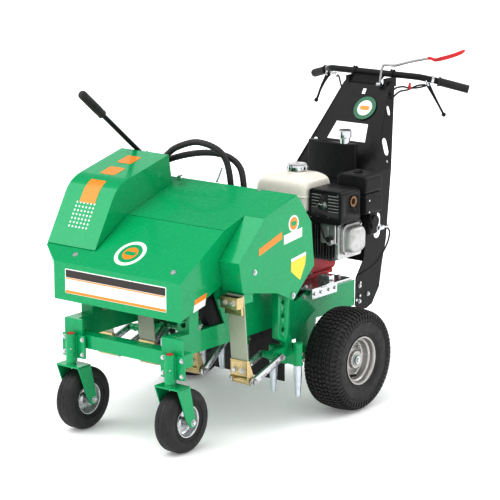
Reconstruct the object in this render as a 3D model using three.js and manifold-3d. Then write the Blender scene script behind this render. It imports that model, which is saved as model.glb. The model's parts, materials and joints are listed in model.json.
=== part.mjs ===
import * as THREE from 'three';
import { mergeVertices } from 'three/addons/utils/BufferGeometryUtils.js';
import { ConvexGeometry } from 'three/addons/geometries/ConvexGeometry.js';
import Module from 'manifold-3d';

// Walk-behind hydrostatic core aerator, millimetres, +Z up, front at -Y, its left side at +X.
// Inside the machine group the rear axle is at Y = 0 and the floor at Z = 0.
const wasm = await Module();
wasm.setup();

// ---- driving dimensions ----
const GAP = 0.3;                     // between touching pieces
const MACHINE_Y = 41.7;               // moves the middle of the footprint to the origin
const WHEEL = { r: 190.5, x: 377, half: 76, bead: 84.4, axle: 16 };
const CASTER = { x: 229, stemY: -843, axleY: -784, r: 114, half: 39, forkHalf: 53, leg: 5 };
const HOOD = { x0: -361, x1: 229, front: -783, low: 462, crease: 597, t: 3 };
const SLOPE_END = [-543, 744];       // where the sloped panel meets the top cover
const TOP_END = [-245, 836];         // rear edge of the top cover
const PANEL = { x0: -452, x1: -222, t: 3 };
const DRIVE = { x0: 230, x1: 320, t: 3 };
const TUBE = { x0: 166, x1: 216, z0: 331, z1: 407 };
const SIDE = { x0: 210, x1: 218 };
const TAIL = { x0: 176, x1: 184, z0: 300, z1: 400, end: 311 };
const CRANK = { y: -300, z: 590, r: 30, pin: 14, main: 18, low: -53 };
const ARM_X = [283, 57, -144, -347];
const ARM_PHASE = [0, 180, 180, 0];
const PIVOT = [-504, 205];           // lower pivot of the spring hangers
const EYE = [-341, 259];             // rear eye of the links of the lowest arms
const TINE_DX = 55.5;
const TINE_Y = -257;
const RIGHT_OUT = 70;                // the frame's right side stands this much further out
const UPRIGHT = { x: 188.3, t: 4, low: [361, 465], knee: [435, 800], top: [641, 1105], topX: 103 };
const BAR = { y: 690, z: 1143, r: 12.7, grip: 16.5 };
const LEVER_AXIS = [0.523, -0.829, 0.196];   // of the left brake lever, mirrored on the right
const LEVER_AT = [242, 713, 1110];   // pivot of the left brake lever
const LEVER_FALL = [0.5, 0.11, -0.86];       // the way it hangs
const DEPTH_LEVER = { x: -395, y: -250, z: 902, along: [-0.778, 0.628] };
const SHAFT = [40, 573];             // X and Z of the engine's output shaft and of its recoil starter
const ENGAGE = [625, 1108];          // Y and Z of the engagement lever's pivot
const HOSE_R = 12.5;

const COLOURS = {
  green: [0x06a457, 0.3, 0.1], black: [0x1c1c1e, 0.45, 0.1], rubber: [0x232325, 0.85, 0],
  zinc: [0xb9bec2, 0.35, 0.9], gold: [0xcaa75c, 0.38, 0.85], spring: [0xb3b8a4, 0.45, 0.5],
  cream: [0xe9e4d8, 0.4, 0], red: [0xa3121f, 0.4, 0.1], alloy: [0xc4c5c6, 0.5, 0.7],
  chrome: [0xd9dadb, 0.15, 1], rim: [0xa9abad, 0.35, 0.8], steel: [0x8c9094, 0.4, 0.9],
};

// ---- solids: three.js shapes as closed meshes, joined and cut by manifold ----
function solid(geo) {
  const g = geo.index ? geo.clone() : geo;
  g.deleteAttribute('normal');
  g.deleteAttribute('uv');
  const m = mergeVertices(g, 1e-3);
  const p = m.attributes.position.array, t = new Uint32Array(m.index.array);
  let v = 0;
  for (let i = 0; i < t.length; i += 3) {
    const [a, b, c] = [t[i] * 3, t[i + 1] * 3, t[i + 2] * 3];
    v += p[a] * (p[b + 1] * p[c + 2] - p[b + 2] * p[c + 1])
      + p[a + 1] * (p[b + 2] * p[c] - p[b] * p[c + 2])
      + p[a + 2] * (p[b] * p[c + 1] - p[b + 1] * p[c]);
  }
  const insideOut = v < 0;
  for (let i = 0; insideOut && i < t.length; i += 3) {
    [t[i], t[i + 1]] = [t[i + 1], t[i]];
  }
  const keep = [];
  for (let i = 0; i < t.length; i += 3) {
    const corners = new Set([t[i], t[i + 1], t[i + 2]]);
    if (corners.size === 3) keep.push(...corners);
  }
  return new wasm.Manifold(new wasm.Mesh({
    numProp: 3, vertProperties: new Float32Array(p), triVerts: new Uint32Array(keep),
  }));
}
const join = (...s) => s.flat().reduce((a, b) => a.add(b));
const cut = (a, ...s) => s.flat().reduce((r, b) => r.subtract(b), a);
const box = (x0, x1, y0, y1, z0, z1) => solid(new THREE.BoxGeometry(x1 - x0, y1 - y0, z1 - z0)
  .translate((x0 + x1) / 2, (y0 + y1) / 2, (z0 + z1) / 2));
const X = new THREE.Vector3(1, 0, 0), Y = new THREE.Vector3(0, 1, 0), Z = new THREE.Vector3(0, 0, 1);
const BASIS = {
  x: new THREE.Matrix4().makeBasis(Y, Z, X),
  y: new THREE.Matrix4().makeBasis(X, Z, Y.clone().negate()),
  z: new THREE.Matrix4(),
};
const shapeOf = (pts) => new THREE.Shape(pts.map((p) => new THREE.Vector2(p[0], p[1])));
const circle = (u, v, r, n = 24, turn = 0) => Array.from({ length: n }, (_, i) => {
  const a = (2 * Math.PI * (i + turn)) / n;
  return [u + r * Math.cos(a), v + r * Math.sin(a)];
});
// a flat outline pushed along an axis from a to b; outlines are (Y,Z), (X,Z) or (X,Y)
function prism(axis, pts, a, b, holes = []) {
  const g = new THREE.ExtrudeGeometry(shapeOf(pts), { depth: b - a, bevelEnabled: false });
  g.applyMatrix4(BASIS[axis]);
  if (axis === 'x') g.translate(a, 0, 0);
  if (axis === 'y') g.translate(0, b, 0);
  if (axis === 'z') g.translate(0, 0, a);
  return cut(solid(g), holes.map((h) => prism(axis, h, a - 1, b + 1)));
}
const rod = (axis, u, v, r, a, b, n = 16) => prism(axis, circle(u, v, r, n), a, b);
const hex = (axis, u, v, r, a, b) => prism(axis, circle(u, v, r, 6), a, b);
const ring = (axis, u, v, ro, ri, a, b, n = 20) => prism(axis, circle(u, v, ro, n), a, b,
  [circle(u, v, ri, n)]);
// a closed (radius, along) outline turned about an axis; a flat one stands on a facet at its full radius
const LATHE = {
  x: new THREE.Matrix4().makeBasis(Y, X, Z.clone().negate()),
  y: new THREE.Matrix4(),
  z: new THREE.Matrix4().makeBasis(X, Z, Y.clone().negate()),
};
function turned(axis, at, profile, n = 32, flat = false) {
  const k = flat ? 1 / Math.cos(Math.PI / n) : 1;
  const pts = profile.map((p) => new THREE.Vector2(p[0] * k, p[1]));
  if (profile[0][0] > 0) pts.push(pts[0].clone());
  const g = new THREE.LatheGeometry(pts, n, flat ? Math.PI / n : 0);
  g.applyMatrix4(LATHE[axis]);
  g.translate(...at);
  return solid(g);
}
// an open polyline given a thickness t on its left-hand side, as a closed outline
function strip(pts, t) {
  const dir = (a, b) => {
    const l = Math.hypot(b[0] - a[0], b[1] - a[1]);
    return [(b[0] - a[0]) / l, (b[1] - a[1]) / l];
  };
  const inner = pts.map((p, i) => {
    const d0 = i > 0 ? dir(pts[i - 1], p) : dir(p, pts[i + 1]);
    const d1 = i < pts.length - 1 ? dir(p, pts[i + 1]) : d0;
    const n = [-(d0[1] + d1[1]), d0[0] + d1[0]];
    const l = Math.hypot(...n), k = t / ((n[0] * -d0[1] + n[1] * d0[0]) / l);
    return [p[0] + (n[0] / l) * k, p[1] + (n[1] / l) * k];
  });
  return [...pts, ...inner.reverse()];
}
// a round bar along a smooth line through points
function pipe(points, r, steps, n = 12) {
  const path = new THREE.CatmullRomCurve3(points.map((p) => new THREE.Vector3(...p)), false, 'centripetal');
  return solid(new THREE.ExtrudeGeometry(shapeOf(circle(0, 0, r, n)), {
    steps, bevelEnabled: false, extrudePath: path,
  }));
}
// a straight round bar between two points
function beam(p, q, r, n = 8) {
  const a = new THREE.Vector3(...p), b = new THREE.Vector3(...q), d = b.clone().sub(a);
  const g = new THREE.CylinderGeometry(r, r, d.length(), n);
  g.applyQuaternion(new THREE.Quaternion().setFromUnitVectors(Y, d.normalize()));
  g.translate(...a.add(b).multiplyScalar(0.5).toArray());
  return solid(g);
}
function rounded(x0, x1, z0, z1, r, n = 4) {
  const pts = [];
  const centres = [[x1 - r, z1 - r], [x0 + r, z1 - r], [x0 + r, z0 + r], [x1 - r, z0 + r]];
  for (const [s, [cx, cz]] of centres.entries()) {
    for (let i = 0; i <= n; i++) {
      const a = (Math.PI / 2) * (s + i / n);
      pts.push([cx + r * Math.cos(a), cz + r * Math.sin(a)]);
    }
  }
  return pts;
}
// turns a solid about the X direction through (y, z) by an angle, then moves it
function turnX(s, [y, z], angle, [dy, dz] = [0, 0]) {
  const m = new THREE.Matrix4().makeTranslation(0, y + dy, z + dz)
    .multiply(new THREE.Matrix4().makeRotationX(angle))
    .multiply(new THREE.Matrix4().makeTranslation(0, -y, -z));
  return s.transform(m.elements);
}

const machine = new THREE.Group();
machine.position.set(0, MACHINE_Y, 0);
function add(name, s, look) {
  const m = s.getMesh();
  const g = new THREE.BufferGeometry();
  g.setAttribute('position', new THREE.BufferAttribute(new Float32Array(m.vertProperties), 3));
  g.setIndex(new THREE.BufferAttribute(new Uint32Array(m.triVerts), 1));
  g.computeVertexNormals();
  const [color, roughness, metalness] = COLOURS[look];
  const mesh = new THREE.Mesh(g, new THREE.MeshStandardMaterial({ color, roughness, metalness }));
  mesh.name = name;
  machine.add(mesh);
}
const SIDES = [['left', 1], ['right', -1]];
const span = (s, a, b) => (s > 0 ? [a, b] : [-b, -a]);

// ---- chassis: tubes, side plates, hanger beam, tail and deck ----
{
  const parts = [
    box(-TUBE.x1 - RIGHT_OUT, 265, -812, -762, 308, 357),
    box(-386, 316, -542, -492, 492, 538),
    box(-SIDE.x1 - RIGHT_OUT, SIDE.x1, -150, -110, 331, 400),
    box(-TAIL.x1, TAIL.x1, 281, TAIL.end, TAIL.z0, TAIL.z1),
    box(-TAIL.x1, TAIL.x1, -112, TAIL.end, TAIL.z1 - 6, TAIL.z1),
    rod('x', 0, WHEEL.r, WHEEL.axle, -WHEEL.x - 44, WHEEL.x + 44),
  ];
  const holes = [[-191, 418], [-184, 364], [-178, 310]].map(([y, z]) => circle(y, z, 12, 10));
  const side = [[-526, 400], [-580, 515], [-580, 538], [-440, 690], [-240, 745], [-165, 650], [-138, 500],
      [-130, 420],
    [-118, 400], [-40, 424], [-38, 431.4], [150, 424], [150, 402], [-20, 330], [-110, 262], [-187, 262],
    [-196, 340], [-300, 395]];
  for (const [, s] of SIDES) {
    const out = s > 0 ? 0 : RIGHT_OUT;
    const tube = box(...span(s, TUBE.x0 + out, TUBE.x1 + out), -812, -120, TUBE.z0, TUBE.z1);
    const post = box(...span(s, CASTER.x - 36, CASTER.x + 36), -822, -811, 290, 412);
    const riser = cut(box(...span(s, TUBE.x0 - 4 + out, TUBE.x1 + out), -723, -672, TUBE.z1 - 1, 610),
      rod('y', s * (189 + out), 452, 13, -724, -700, 10));
    const plate = prism('x', side, ...span(s, SIDE.x0 + out, SIDE.x1 + out),
      [...holes, circle(CRANK.y, CRANK.z, CRANK.main + 1.3, 20)]);
    const tail = prism('x', [[-190, TAIL.z0], [-190, TAIL.z1], [TAIL.end, TAIL.z1], [TAIL.end, TAIL.z0],
      [64, TAIL.z0], [40, 155], [-40, 155], [-64, TAIL.z0]], ...span(s, TAIL.x0, TAIL.x1));
    parts.push(tube, post, riser, plate, tail);
  }
  add('chassis_frame', join(parts), 'green');
}

// ---- front casters ----
for (const [side, s] of SIDES) {
  const cx = s * CASTER.x, y = CASTER.stemY, a = CASTER.axleY, h = CASTER.forkHalf;
  const mount = join(box(cx - 53, cx + 53, -830.3, -822 - GAP, 272, 356), rod('z', cx, y, 19, 258, 362));
  add(`caster_mount_${side}`, cut(mount, rod('z', cx, y, 13.4, 250, 370)), 'green');
  const front = y - 23, back = y + 45;
  const leg = [[front, 249], [back, 249], [a + 13, 126], [a + 13, 106], [a + 5, 98], [a - 9, 98],
      [a - 36, 130]];
  add(`caster_fork_${side}`, join(
    box(cx - h, cx + h, front, back, 243, 249),
    prism('x', leg, cx - h, cx - h + CASTER.leg), prism('x', leg, cx + h - CASTER.leg, cx + h),
    rod('z', cx, y, 12, 248, 350, 12), rod('z', cx, y, 17, 248, 257, 12),
    rod('x', a, CASTER.r, 8, cx - h - 8, cx + h + 8, 12),
    rod('x', a, CASTER.r, 13, cx - h, cx - 45, 12), rod('x', a, CASTER.r, 13, cx + 45, cx + h, 12),
    hex('x', a, CASTER.r, 11, cx - h - 7, cx - h), hex('x', a, CASTER.r, 11, cx + h, cx + h + 7),
  ), 'green');
  const w = CASTER.half;
  const tread = [[52.3, -27.7], [58, -28], [72, 3 - w], [88, -w], [106, 6 - w], [114, -15], [108, 0],
      [114, 15],
    [106, w - 6], [88, w], [72, w - 3], [58, 28], [52.3, 27.7]];
  add(`caster_tyre_${side}`, turned('x', [cx, a, CASTER.r], tread, 20, true), 'rubber');
  const rim = [[51.6, -27.6], [57, -28.6], [57, -31.5], [47, -31], [47, -4], [15, -4], [15, -44], [9.1, -44],
    [9.1, 44], [15, 44], [15, 4], [47, 4], [47, 31], [57, 31.5], [57, 28.6], [51.6, 27.6]];
  add(`caster_rim_${side}`, turned('x', [cx, a, CASTER.r], rim, 20), 'rim');
}

// ---- rear wheels ----
for (const [side, s] of SIDES) {
  const at = [s * WHEEL.x, 0, WHEEL.r], h = WHEEL.half;
  const tyre = [[84.9, -57], [92, -58], [106, -70], [134, -h], [164, -74], [184, -60], [190.5, -24],
    [190.5, 24], [184, 60], [164, 74], [134, h], [106, 70], [92, 58], [84.9, 57]];
  add(`rear_tyre_${side}`, turned('x', at, tyre, 24, true), 'rubber');
  const rim = [[84, -57.5], [90, -58.6], [90, -61.5], [80, -61], [80, 12], [34, 20], [34, -30], [17.2, -30],
    [17.2, 40], [30, 40], [34, 27], [60, 27], [80.5, 17], [80.5, 61], [90, 61.5], [90, 58.6], [84, 57.5]];
  add(`rear_rim_${side}`, turned('x', at, rim.map(([r, x]) => [r, s * x]), 20), 'rim');
}

// ---- sheet metal covers ----
{
  const { x0, x1, front, low, crease, t } = HOOD;
  const slopeStrip = strip([SLOPE_END, [front, crease]], t);
  const edge = [[front, low], [-723, 483], [-677, 508], [-606, 533], [-560, 549], [-430, 562], [-430, 775.2],
    [SLOPE_END[0], 740.2], [SLOPE_END[0], 741], [front, crease - 1]];
  const hull = new ConvexGeometry([[x0 + 1, front, crease], [x0 + 1, front + 1, crease - 20],
    [x0 + 1, -722, 634.3], [PANEL.x0, -722, 634.3], [x0 + 1, -722, 556], [PANEL.x0, -543, 743.2],
    [x0 + 1, -543, 743.2], [x0 + 1, -543, 640], [PANEL.x0, -543, 730], [x0 + 1, -440, 690]]
    .map((p) => new THREE.Vector3(...p)));
  add('front_hood', join(
    box(x0, x1, front, front + t, low, crease), box(x0, x1, front, front + 26, low - t, low + 0.5),
    prism('x', slopeStrip, x0, x1), prism('x', edge, x1 - t, x1), prism('x', edge, x0, x0 + t), solid(hull),
  ), 'green');
  const rise = (TOP_END[1] - SLOPE_END[1]) / (TOP_END[0] - SLOPE_END[0]);
  const top = (y) => TOP_END[1] + (y - TOP_END[0]) * rise;
  const sheet = (y0) => strip([TOP_END, [y0, top(y0)]], t);
  const y0 = SLOPE_END[0] + 3;
  add('top_cover', join(
    prism('x', sheet(y0), x0, x1), prism('x', sheet(-427), x1 - 1, DRIVE.x1 - t - GAP),
    box(x0 + 4, DRIVE.x1 - t - GAP, TOP_END[0] - t, TOP_END[0], 800, 834),
    ...[-412.5, -383.3].map((x) => prism('x', [[-258, 829], [-246, 829], [-233, 902], [-241, 917],
        [-259, 917],
      [-267, 902]], x, x + 5.5)), box(-412, -355, -258, -246, 829, 842),
  ), 'green');
  const outline = [[-575, 643], [-428, 781], [-244, 835], [-223, 814], [-155, 723], [-136, 559], [-180, 523],
    [-262, 452], [-300, 470], [-358, 497], [-555, 535]];
  const rear = strip([[-180, 523], [-136, 559], [-155, 723], [-223, 814], [-240, 831]], t);
  add('left_drive_cover', join(
    prism('x', outline, DRIVE.x1 - t, DRIVE.x1), prism('x', rear, DRIVE.x0, DRIVE.x1 - 1),
    prism('x', strip([[-429, 779.5], [-575, 643], [-555, 535]], t), DRIVE.x0, DRIVE.x1 - 1),
  ), 'green');
  const back = [[-429.7, 565], [-429.7, 774], [-249, 828], [-244, 835], [-223, 814], [-155, 723], [-136, 559],
    [-180, 523], [-262, 452], [-300, 470], [-358, 497], [-429.7, 512]];
  add('right_side_cover', join(
    prism('x', back.map(([y, z]) => [y, Math.min(z, top(y) - 7)]), PANEL.x0, PANEL.x0 + t),
    prism('x', strip([[-180, 523], [-136, 559], [-155, 723], [-223, 812]], t), PANEL.x0 + 1, x0 + 60),
    prism('x', strip([[-429.7, 772], [-429.7, 565]], t), PANEL.x0 + 1, x0 - 1),
  ), 'green');

  // raised housing of the controls, open underneath and behind
  const g = 0.5, p = PANEL;
  const curve = [[-306, 930], [-528, 874], [-557, 865], [-583, 851], [-604, 832], [-620, 808], [-717, 641.4]];
  const cheek = [...curve, [-543 + 0.3, 744 + g + 0.3], [-288, top(-288) + g]];
  const face = prism('x', strip(curve, p.t), p.x0, p.x1);
  const cheeks = [prism('x', cheek, p.x1 - p.t, p.x1), prism('x', cheek, p.x0, p.x0 + p.t)];
  add('control_housing', join(face, cheeks), 'green');
}

// ---- crankshaft and the four tine arms ----
const pinAt = (i, extra = 0) => {
  const a = THREE.MathUtils.degToRad(CRANK.low + ARM_PHASE[i] + extra);
  return [CRANK.y + CRANK.r * Math.cos(a), CRANK.z + CRANK.r * Math.sin(a)];
};
{
  const parts = [];
  for (let i = 1; i < ARM_X.length; i++) {
    parts.push(rod('x', CRANK.y, CRANK.z, CRANK.main, ARM_X[i] + 26, ARM_X[i - 1] - 26, 12));
  }
  ARM_X.forEach((x, i) => {
    const [py, pz] = pinAt(i);
    parts.push(rod('x', py, pz, CRANK.pin, x - 18, x + 18, 12));
    const web = solid(new ConvexGeometry([...circle(CRANK.y, CRANK.z, 24, 8), ...circle(py, pz, 21, 8)]
      .flatMap(([u, v]) => [new THREE.Vector3(0, u, v), new THREE.Vector3(10, u, v)])));
    parts.push(web.translate([x - 27, 0, 0]), web.translate([x + 17, 0, 0]));
  });
  parts.push(rod('x', CRANK.y, CRANK.z, 72, 150, 158, 20));
  add('crankshaft', join(parts), 'steel');
}
const dist = (a, b) => Math.hypot(a[0] - b[0], a[1] - b[1]);
const LINK_LEN = dist(EYE, PIVOT), ROD_LEN = dist(EYE, pinAt(0));
// where the links hold the lower end of an arm whose upper end is on its crank pin
function eyeAt(pin) {
  const q = dist(pin, PIVOT), x = (LINK_LEN ** 2 - ROD_LEN ** 2 + q * q) / (2 * q);
  const h = Math.sqrt(LINK_LEN ** 2 - x * x), u = [(pin[0] - PIVOT[0]) / q, (pin[1] - PIVOT[1]) / q];
  return [PIVOT[0] + x * u[0] + h * u[1], PIVOT[1] + x * u[1] - h * u[0]];
}
ARM_X.forEach((x, i) => {
  const n = i + 1, pin0 = pinAt(0), pin = pinAt(i), eye = eyeAt(pin);
  const lean = Math.atan2(eye[1] - pin[1], eye[0] - pin[0]) - Math.atan2(EYE[1] - pin0[1], EYE[0] - pin0[0]);
  const place = (s) => turnX(s, pin0, lean, [pin[0] - pin0[0], pin[1] - pin0[1]]);
  const [py, pz] = pin0;
  const body = join(
    rod('x', py, pz, 30, x - 15, x + 15, 14),
    prism('x', [[py - 17, pz], [py - 19, 292], [-276, 292], [-276, 214], [-238, 214], [-238, 292],
        [py + 17, 330],
      [py + 17, pz]], x - 15, x + 15),
    box(x - TINE_DX, x + TINE_DX, -275, -238, 214, 270),
    ...[-1, 1].map((k) => rod('z', x + k * TINE_DX, TINE_Y, 17.5, 214, k * x > 0 ? 296 : 272, 16)),
    prism('x', [[EYE[0], EYE[1] - 13], [-270, EYE[1] - 20], [-270, EYE[1] + 22], [EYE[0], EYE[1] + 13]],
      x - 15, x + 15),
    rod('x', ...EYE, 13, x - 36, x + 36, 10),
  );
  add(`tine_arm_${n}`, place(cut(body, rod('x', py, pz, CRANK.pin + 1.2, x - 20, x + 20, 12))), 'green');
  [1, -1].forEach((s, k) => {
    const z1 = 214 - GAP;
    const tine = turned('z', [x + s * TINE_DX, TINE_Y, 0],
      [[0, z1], [15, z1], [15, 175], [9.5, 98], [6.5, 98], [7.5, 150], [0, 150]], 10);
    add(`tine_${2 * i + k + 1}`, place(tine), 'zinc');
  });

  const hanger = join(
    prism('x', [[-523, 236], [-517, 236], [-546, 526], [-552, 526]], x - 37, x + 37),
    box(x - 37, x + 37, -588, -548, 480, 522), box(x - 37, x + 37, -563, -545, 455, 481),
    prism('x', [[-533, 284], [-519, 284], [-500, 240], [-489, 205], [-519, 205], [-531, 226]], x - 37,
        x + 37),
    rod('x', ...PIVOT, 15, x - 37, x + 37, 12),
  );
  add(`spring_hanger_${n}`, cut(hanger, rod('x', ...PIVOT, 9, x - 40, x + 40, 10)), 'spring');

  const along = Math.atan2(eye[1] - PIVOT[1], eye[0] - PIVOT[0]);
  const bars = [-1, 1].map((s) => {
    const [a, b] = s > 0 ? [x + 39, x + 50] : [x - 50, x - 39];
    const [c, d] = s > 0 ? [x + 49, x + 57] : [x - 57, x - 49];
    return join(box(a, b, PIVOT[0], PIVOT[0] + LINK_LEN, PIVOT[1] - 12, PIVOT[1] + 12),
      rod('x', ...PIVOT, 15, a, b, 12), rod('x', PIVOT[0] + LINK_LEN, PIVOT[1], 13, a, b, 12),
      hex('x', ...PIVOT, 11, c, d), hex('x', PIVOT[0] + LINK_LEN, PIVOT[1], 10, c, d));
  });
  add(`link_pair_${n}`, turnX(join(...bars, rod('x', ...PIVOT, 8, x - 47, x + 47, 10)), PIVOT, along), 'zinc');
});
add('rear_flap', box(-165, 165, -109.7, -105, 88, 392), 'rubber');

// ---- engine on its slide base, hydraulic pump ----
add('engine_slide_base', join(box(-110, 245, -45, 200, 432, 440), box(237, 245, -45, 200, 401, 440),
  box(-110, -102, -45, 200, 401, 440), box(150, 158, -45, 200, 401, 440),
  box(195, 245, 60, 92, 439, 470)), 'zinc');
add('engine_crankcase', join(
  box(-95, 140, 10, 228, 440 + GAP, 456), prism('y', rounded(-85, 160, 455, 650, 30), 24, 222),
  rod('y', ...SHAFT, 60, 8, 25), rod('y', ...SHAFT, 12.7, -44, 10, 12)), 'red');
{
  const fins = [];
  for (let i = 0; i < 9; i++) fins.push(box(168 + i * 13, 172 + i * 13, 34, 196, 530, 674));
  add('engine_cylinder', join(box(160.3, 296, 52, 178, 545, 660), ...fins,
    box(276, 299, 40, 190, 540, 674)), 'alloy');
}
add('valve_cover', join(prism('x', rounded(56, 172, 556, 672, 26), 299.3, 312),
  prism('x', rounded(64, 164, 564, 664, 28), 311, 345)), 'alloy');
add('fuel_tank', prism('y', [[-65, 712], [-65, 790], [-58, 808], [-44, 821], [0, 838], [34, 847],
  [140, 849], [166, 840], [178, 822], [180, 712]], -2, 175), 'cream');
add('fuel_cap', join(rod('z', 78, 82, 40, 853, 876, 20), rod('z', 78, 82, 35, 849.4, 854, 20)), 'chrome');
add('muffler_guard', cut(prism('y', rounded(186, 333, 680, 806, 12), 10, 134),
  rod('x', 86, 762, 17, 300, 340, 20)), 'black');
add('air_cleaner', join(prism('y', rounded(212, 346, 700, 846, 18), 150, 257),
    box(240, 330, 200, 252, 610, 702),
  rod('z', 270, 205, 14, 845, 856, 16)), 'black');
add('recoil_housing', join(rod('y', ...SHAFT, 132, 228.3, 262, 24), rod('y', ...SHAFT, 80, 261, 292, 20)),
  'black');
add('hydraulic_pump', join(box(-60, 60, -230, -130, 560, 650), rod('y', ...SHAFT, 34, -131, -60, 24),
  box(-50, 90, -232, -60, 520, 562), box(-50, 90, -70, -62, 400.3, 530)), 'black');

// ---- handle upright, oil tank, handlebar and levers ----
{
  const { x, t, low, knee, top, topX } = UPRIGHT;
  const front = [[-x, low[1] - 8], [x, low[1] - 8], [x, knee[1]], [topX, top[1] + 20],
    [-topX, top[1] + 20], [-x, knee[1]]];
  const sheet = prism('x', strip([low, knee, top].reverse(), t), -x, x).intersect(prism('y', front, 300,
      720));
  const window = prism('y', [[-92, 897], [92, 897], [76, 962], [-76, 962]], 440, 640);
  const slot = prism('y', [[-9, 1066], [9, 1066], [9, 1086], [-9, 1086]], 560, 680);
  const flanges = SIDES.map(([, s]) => {
    const lower = prism('x', [[314, 300], [316, 405], low, knee, [543, 800], [513, 520], [489, 438],
        [471, 345],
      [424, 286], [390, 274], [330, 276]], ...span(s, x - t, x), [rounded(430, 478, 540, 640, 22)]);
    const lean = prism('y', strip([[s * x, 799], [s * topX, top[1] + 12]], s * t), 420, 700);
    const upper = lean.intersect(prism('x', [[430, 799.5], top, [650, 1118], [684, 1118], [543, 799.5]],
        -200, 200));
    return join(lower, upper);
  });
  const saddles = SIDES.map(([, s]) => box(...span(s, 82, 97), 636, 703, 1096, 1130));
  add('handle_upright', join(cut(sheet, window, slot), ...flanges, ...saddles), 'black');
  add('oil_tank', prism('z', [[-108, 428], [-108, 402], [-60, 392], [80, 392], [110, 412], [110, 428]],
      770, 905),
    'black');
  add('oil_cap', join(rod('z', 62, 410, 20, 905.3, 926), rod('z', 62, 410, 26, 926, 958)), 'chrome');
}
{
  const half = [[0, BAR.y, BAR.z], [120, BAR.y, BAR.z], [185, BAR.y, BAR.z], [214, 697, 1141],
      [240, 717, 1134],
    [262, 738, 1127], [372, 800, 1096]];
  const all = [...half.slice(1).reverse().map(([x, y, z]) => [-x, y, z]), ...half];
  const grips = SIDES.map(([, s]) => pipe([[268, 741, 1125], [320, 770.7, 1110.6], [372, 800.3, 1096]]
    .map(([x, y, z]) => [s * x, y, z]), BAR.grip, 2, 10));
  const perches = [];
  for (const [side, s] of SIDES) {
    // a point k along the lever's pivot axis and d down the lever
    const at = (k, d = 0) => LEVER_AT.map((v, i) => (i ? 1 : s) * (v + LEVER_AXIS[i] * k + LEVER_FALL[i] * d));
    perches.push(beam(at(-8.5, -25), at(-8.5, 3), 4.5), beam(at(-11), at(7), 3.5));
    add(`brake_lever_${side}`, join(cut(beam(at(-3.6), at(4), 9), beam(at(-9), at(9), 4.5)),
      pipe([at(0, 7.5), at(0, 40), at(0, 82), at(2, 122)], 4, 3, 8),
      solid(new THREE.SphereGeometry(9, 10, 6).translate(...at(2, 128)))), 'black');
  }
  add('handlebar', join(pipe(all, BAR.r, 22, 8), ...grips, ...perches), 'black');
  add('engagement_lever', join(
    pipe([[70, 630, 1108], [70, 634, 1135], [72, 640, 1168], [80, 642, 1183], [100, 642, 1186],
        [135, 642, 1187],
      [200, 642, 1206], [290, 642, 1228]], 5, 16, 6),
    pipe([[285, 642, 1226], [330, 642, 1238], [449.5, 642, 1270]], 11, 3, 8),
    rod('x', ...ENGAGE, 9, 60, 80, 12),
  ), 'zinc');
  const { x: x0, y: y0, z: z0, along } = DEPTH_LEVER;
  const at = (d) => [x0, y0 + along[0] * d, z0 + along[1] * d];
  add('depth_lever', join(pipe([at(0), at(100), at(200), at(295)], 9, 3, 8),
      pipe([at(285), at(360), at(435)], 17, 2, 10),
    rod('x', y0, z0, 14, x0 - 11, x0 + 11, 12)), 'black');
}

// ---- hydraulic hoses, held at the valve and at the pump ----
add('hose_upper', pipe([[-262, -362, 866], [-254, -318, 896], [-243, -284, 928], [-205, -276, 956],
  [-130, -260, 980], [-62, -238, 964], [-28, -216, 924], [-14, -205, 850], [-12, -200, 760],
  [-12, -200, 650.3]], HOSE_R, 24, 8), 'rubber');
add('hose_lower', pipe([[-322, -362, 846], [-300, -305, 872], [-262, -262, 900], [-190, -236, 924],
  [-110, -212, 936], [-42, -184, 925], [6, -172, 888], [24, -172, 820], [26, -170, 740],
  [26, -170, 650.3]], HOSE_R, 24, 8), 'rubber');

export default machine;
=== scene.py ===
import json
import math

import bmesh
import bpy
from mathutils import Matrix, Vector


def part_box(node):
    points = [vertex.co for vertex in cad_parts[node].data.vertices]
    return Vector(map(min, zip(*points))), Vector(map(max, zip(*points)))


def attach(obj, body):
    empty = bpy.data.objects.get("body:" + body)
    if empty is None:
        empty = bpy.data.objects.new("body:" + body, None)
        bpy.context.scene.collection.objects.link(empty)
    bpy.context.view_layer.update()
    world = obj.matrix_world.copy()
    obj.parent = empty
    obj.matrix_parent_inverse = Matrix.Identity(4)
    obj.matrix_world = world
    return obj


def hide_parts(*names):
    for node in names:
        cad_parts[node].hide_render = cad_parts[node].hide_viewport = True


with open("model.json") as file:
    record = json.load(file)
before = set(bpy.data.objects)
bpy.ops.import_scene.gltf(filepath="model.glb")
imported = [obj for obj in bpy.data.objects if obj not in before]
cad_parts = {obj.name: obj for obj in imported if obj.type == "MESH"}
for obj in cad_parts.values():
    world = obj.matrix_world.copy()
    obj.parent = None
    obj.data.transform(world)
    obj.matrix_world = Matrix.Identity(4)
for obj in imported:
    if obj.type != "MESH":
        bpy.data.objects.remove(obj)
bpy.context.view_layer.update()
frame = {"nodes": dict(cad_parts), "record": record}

# Sizes are in millimetres from the floor under the middle of the rear axle, as the machine is drawn:
# +X is its left side, -Y its front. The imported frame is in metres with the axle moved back.
MM = 0.001
axle_low, axle_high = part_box("rear_tyre_left")
AXLE_Y = (axle_low[1] + axle_high[1]) / 2
TO_FRAME = Matrix.Translation((0, AXLE_Y, 0)) @ Matrix.Scale(MM, 4)
SIDES = (("left", 1), ("right", -1))

WHEEL_X = (axle_low[0] + axle_high[0]) / 2 / MM
WHEEL_Z = (axle_low[2] + axle_high[2]) / 2 / MM
TAU = 2 * math.pi


# ---------------------------------------------------------------- camera, floor and light
CAMERA_AT = (4.8529, -6.316, 2.3418)      # from the floor under the rear axle, metres
CAMERA_TURN = 38                          # degrees round from the front
CAMERA_TILT = 12.7                        # degrees below level
LENS = 156.3
SENSOR = 36

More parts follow.
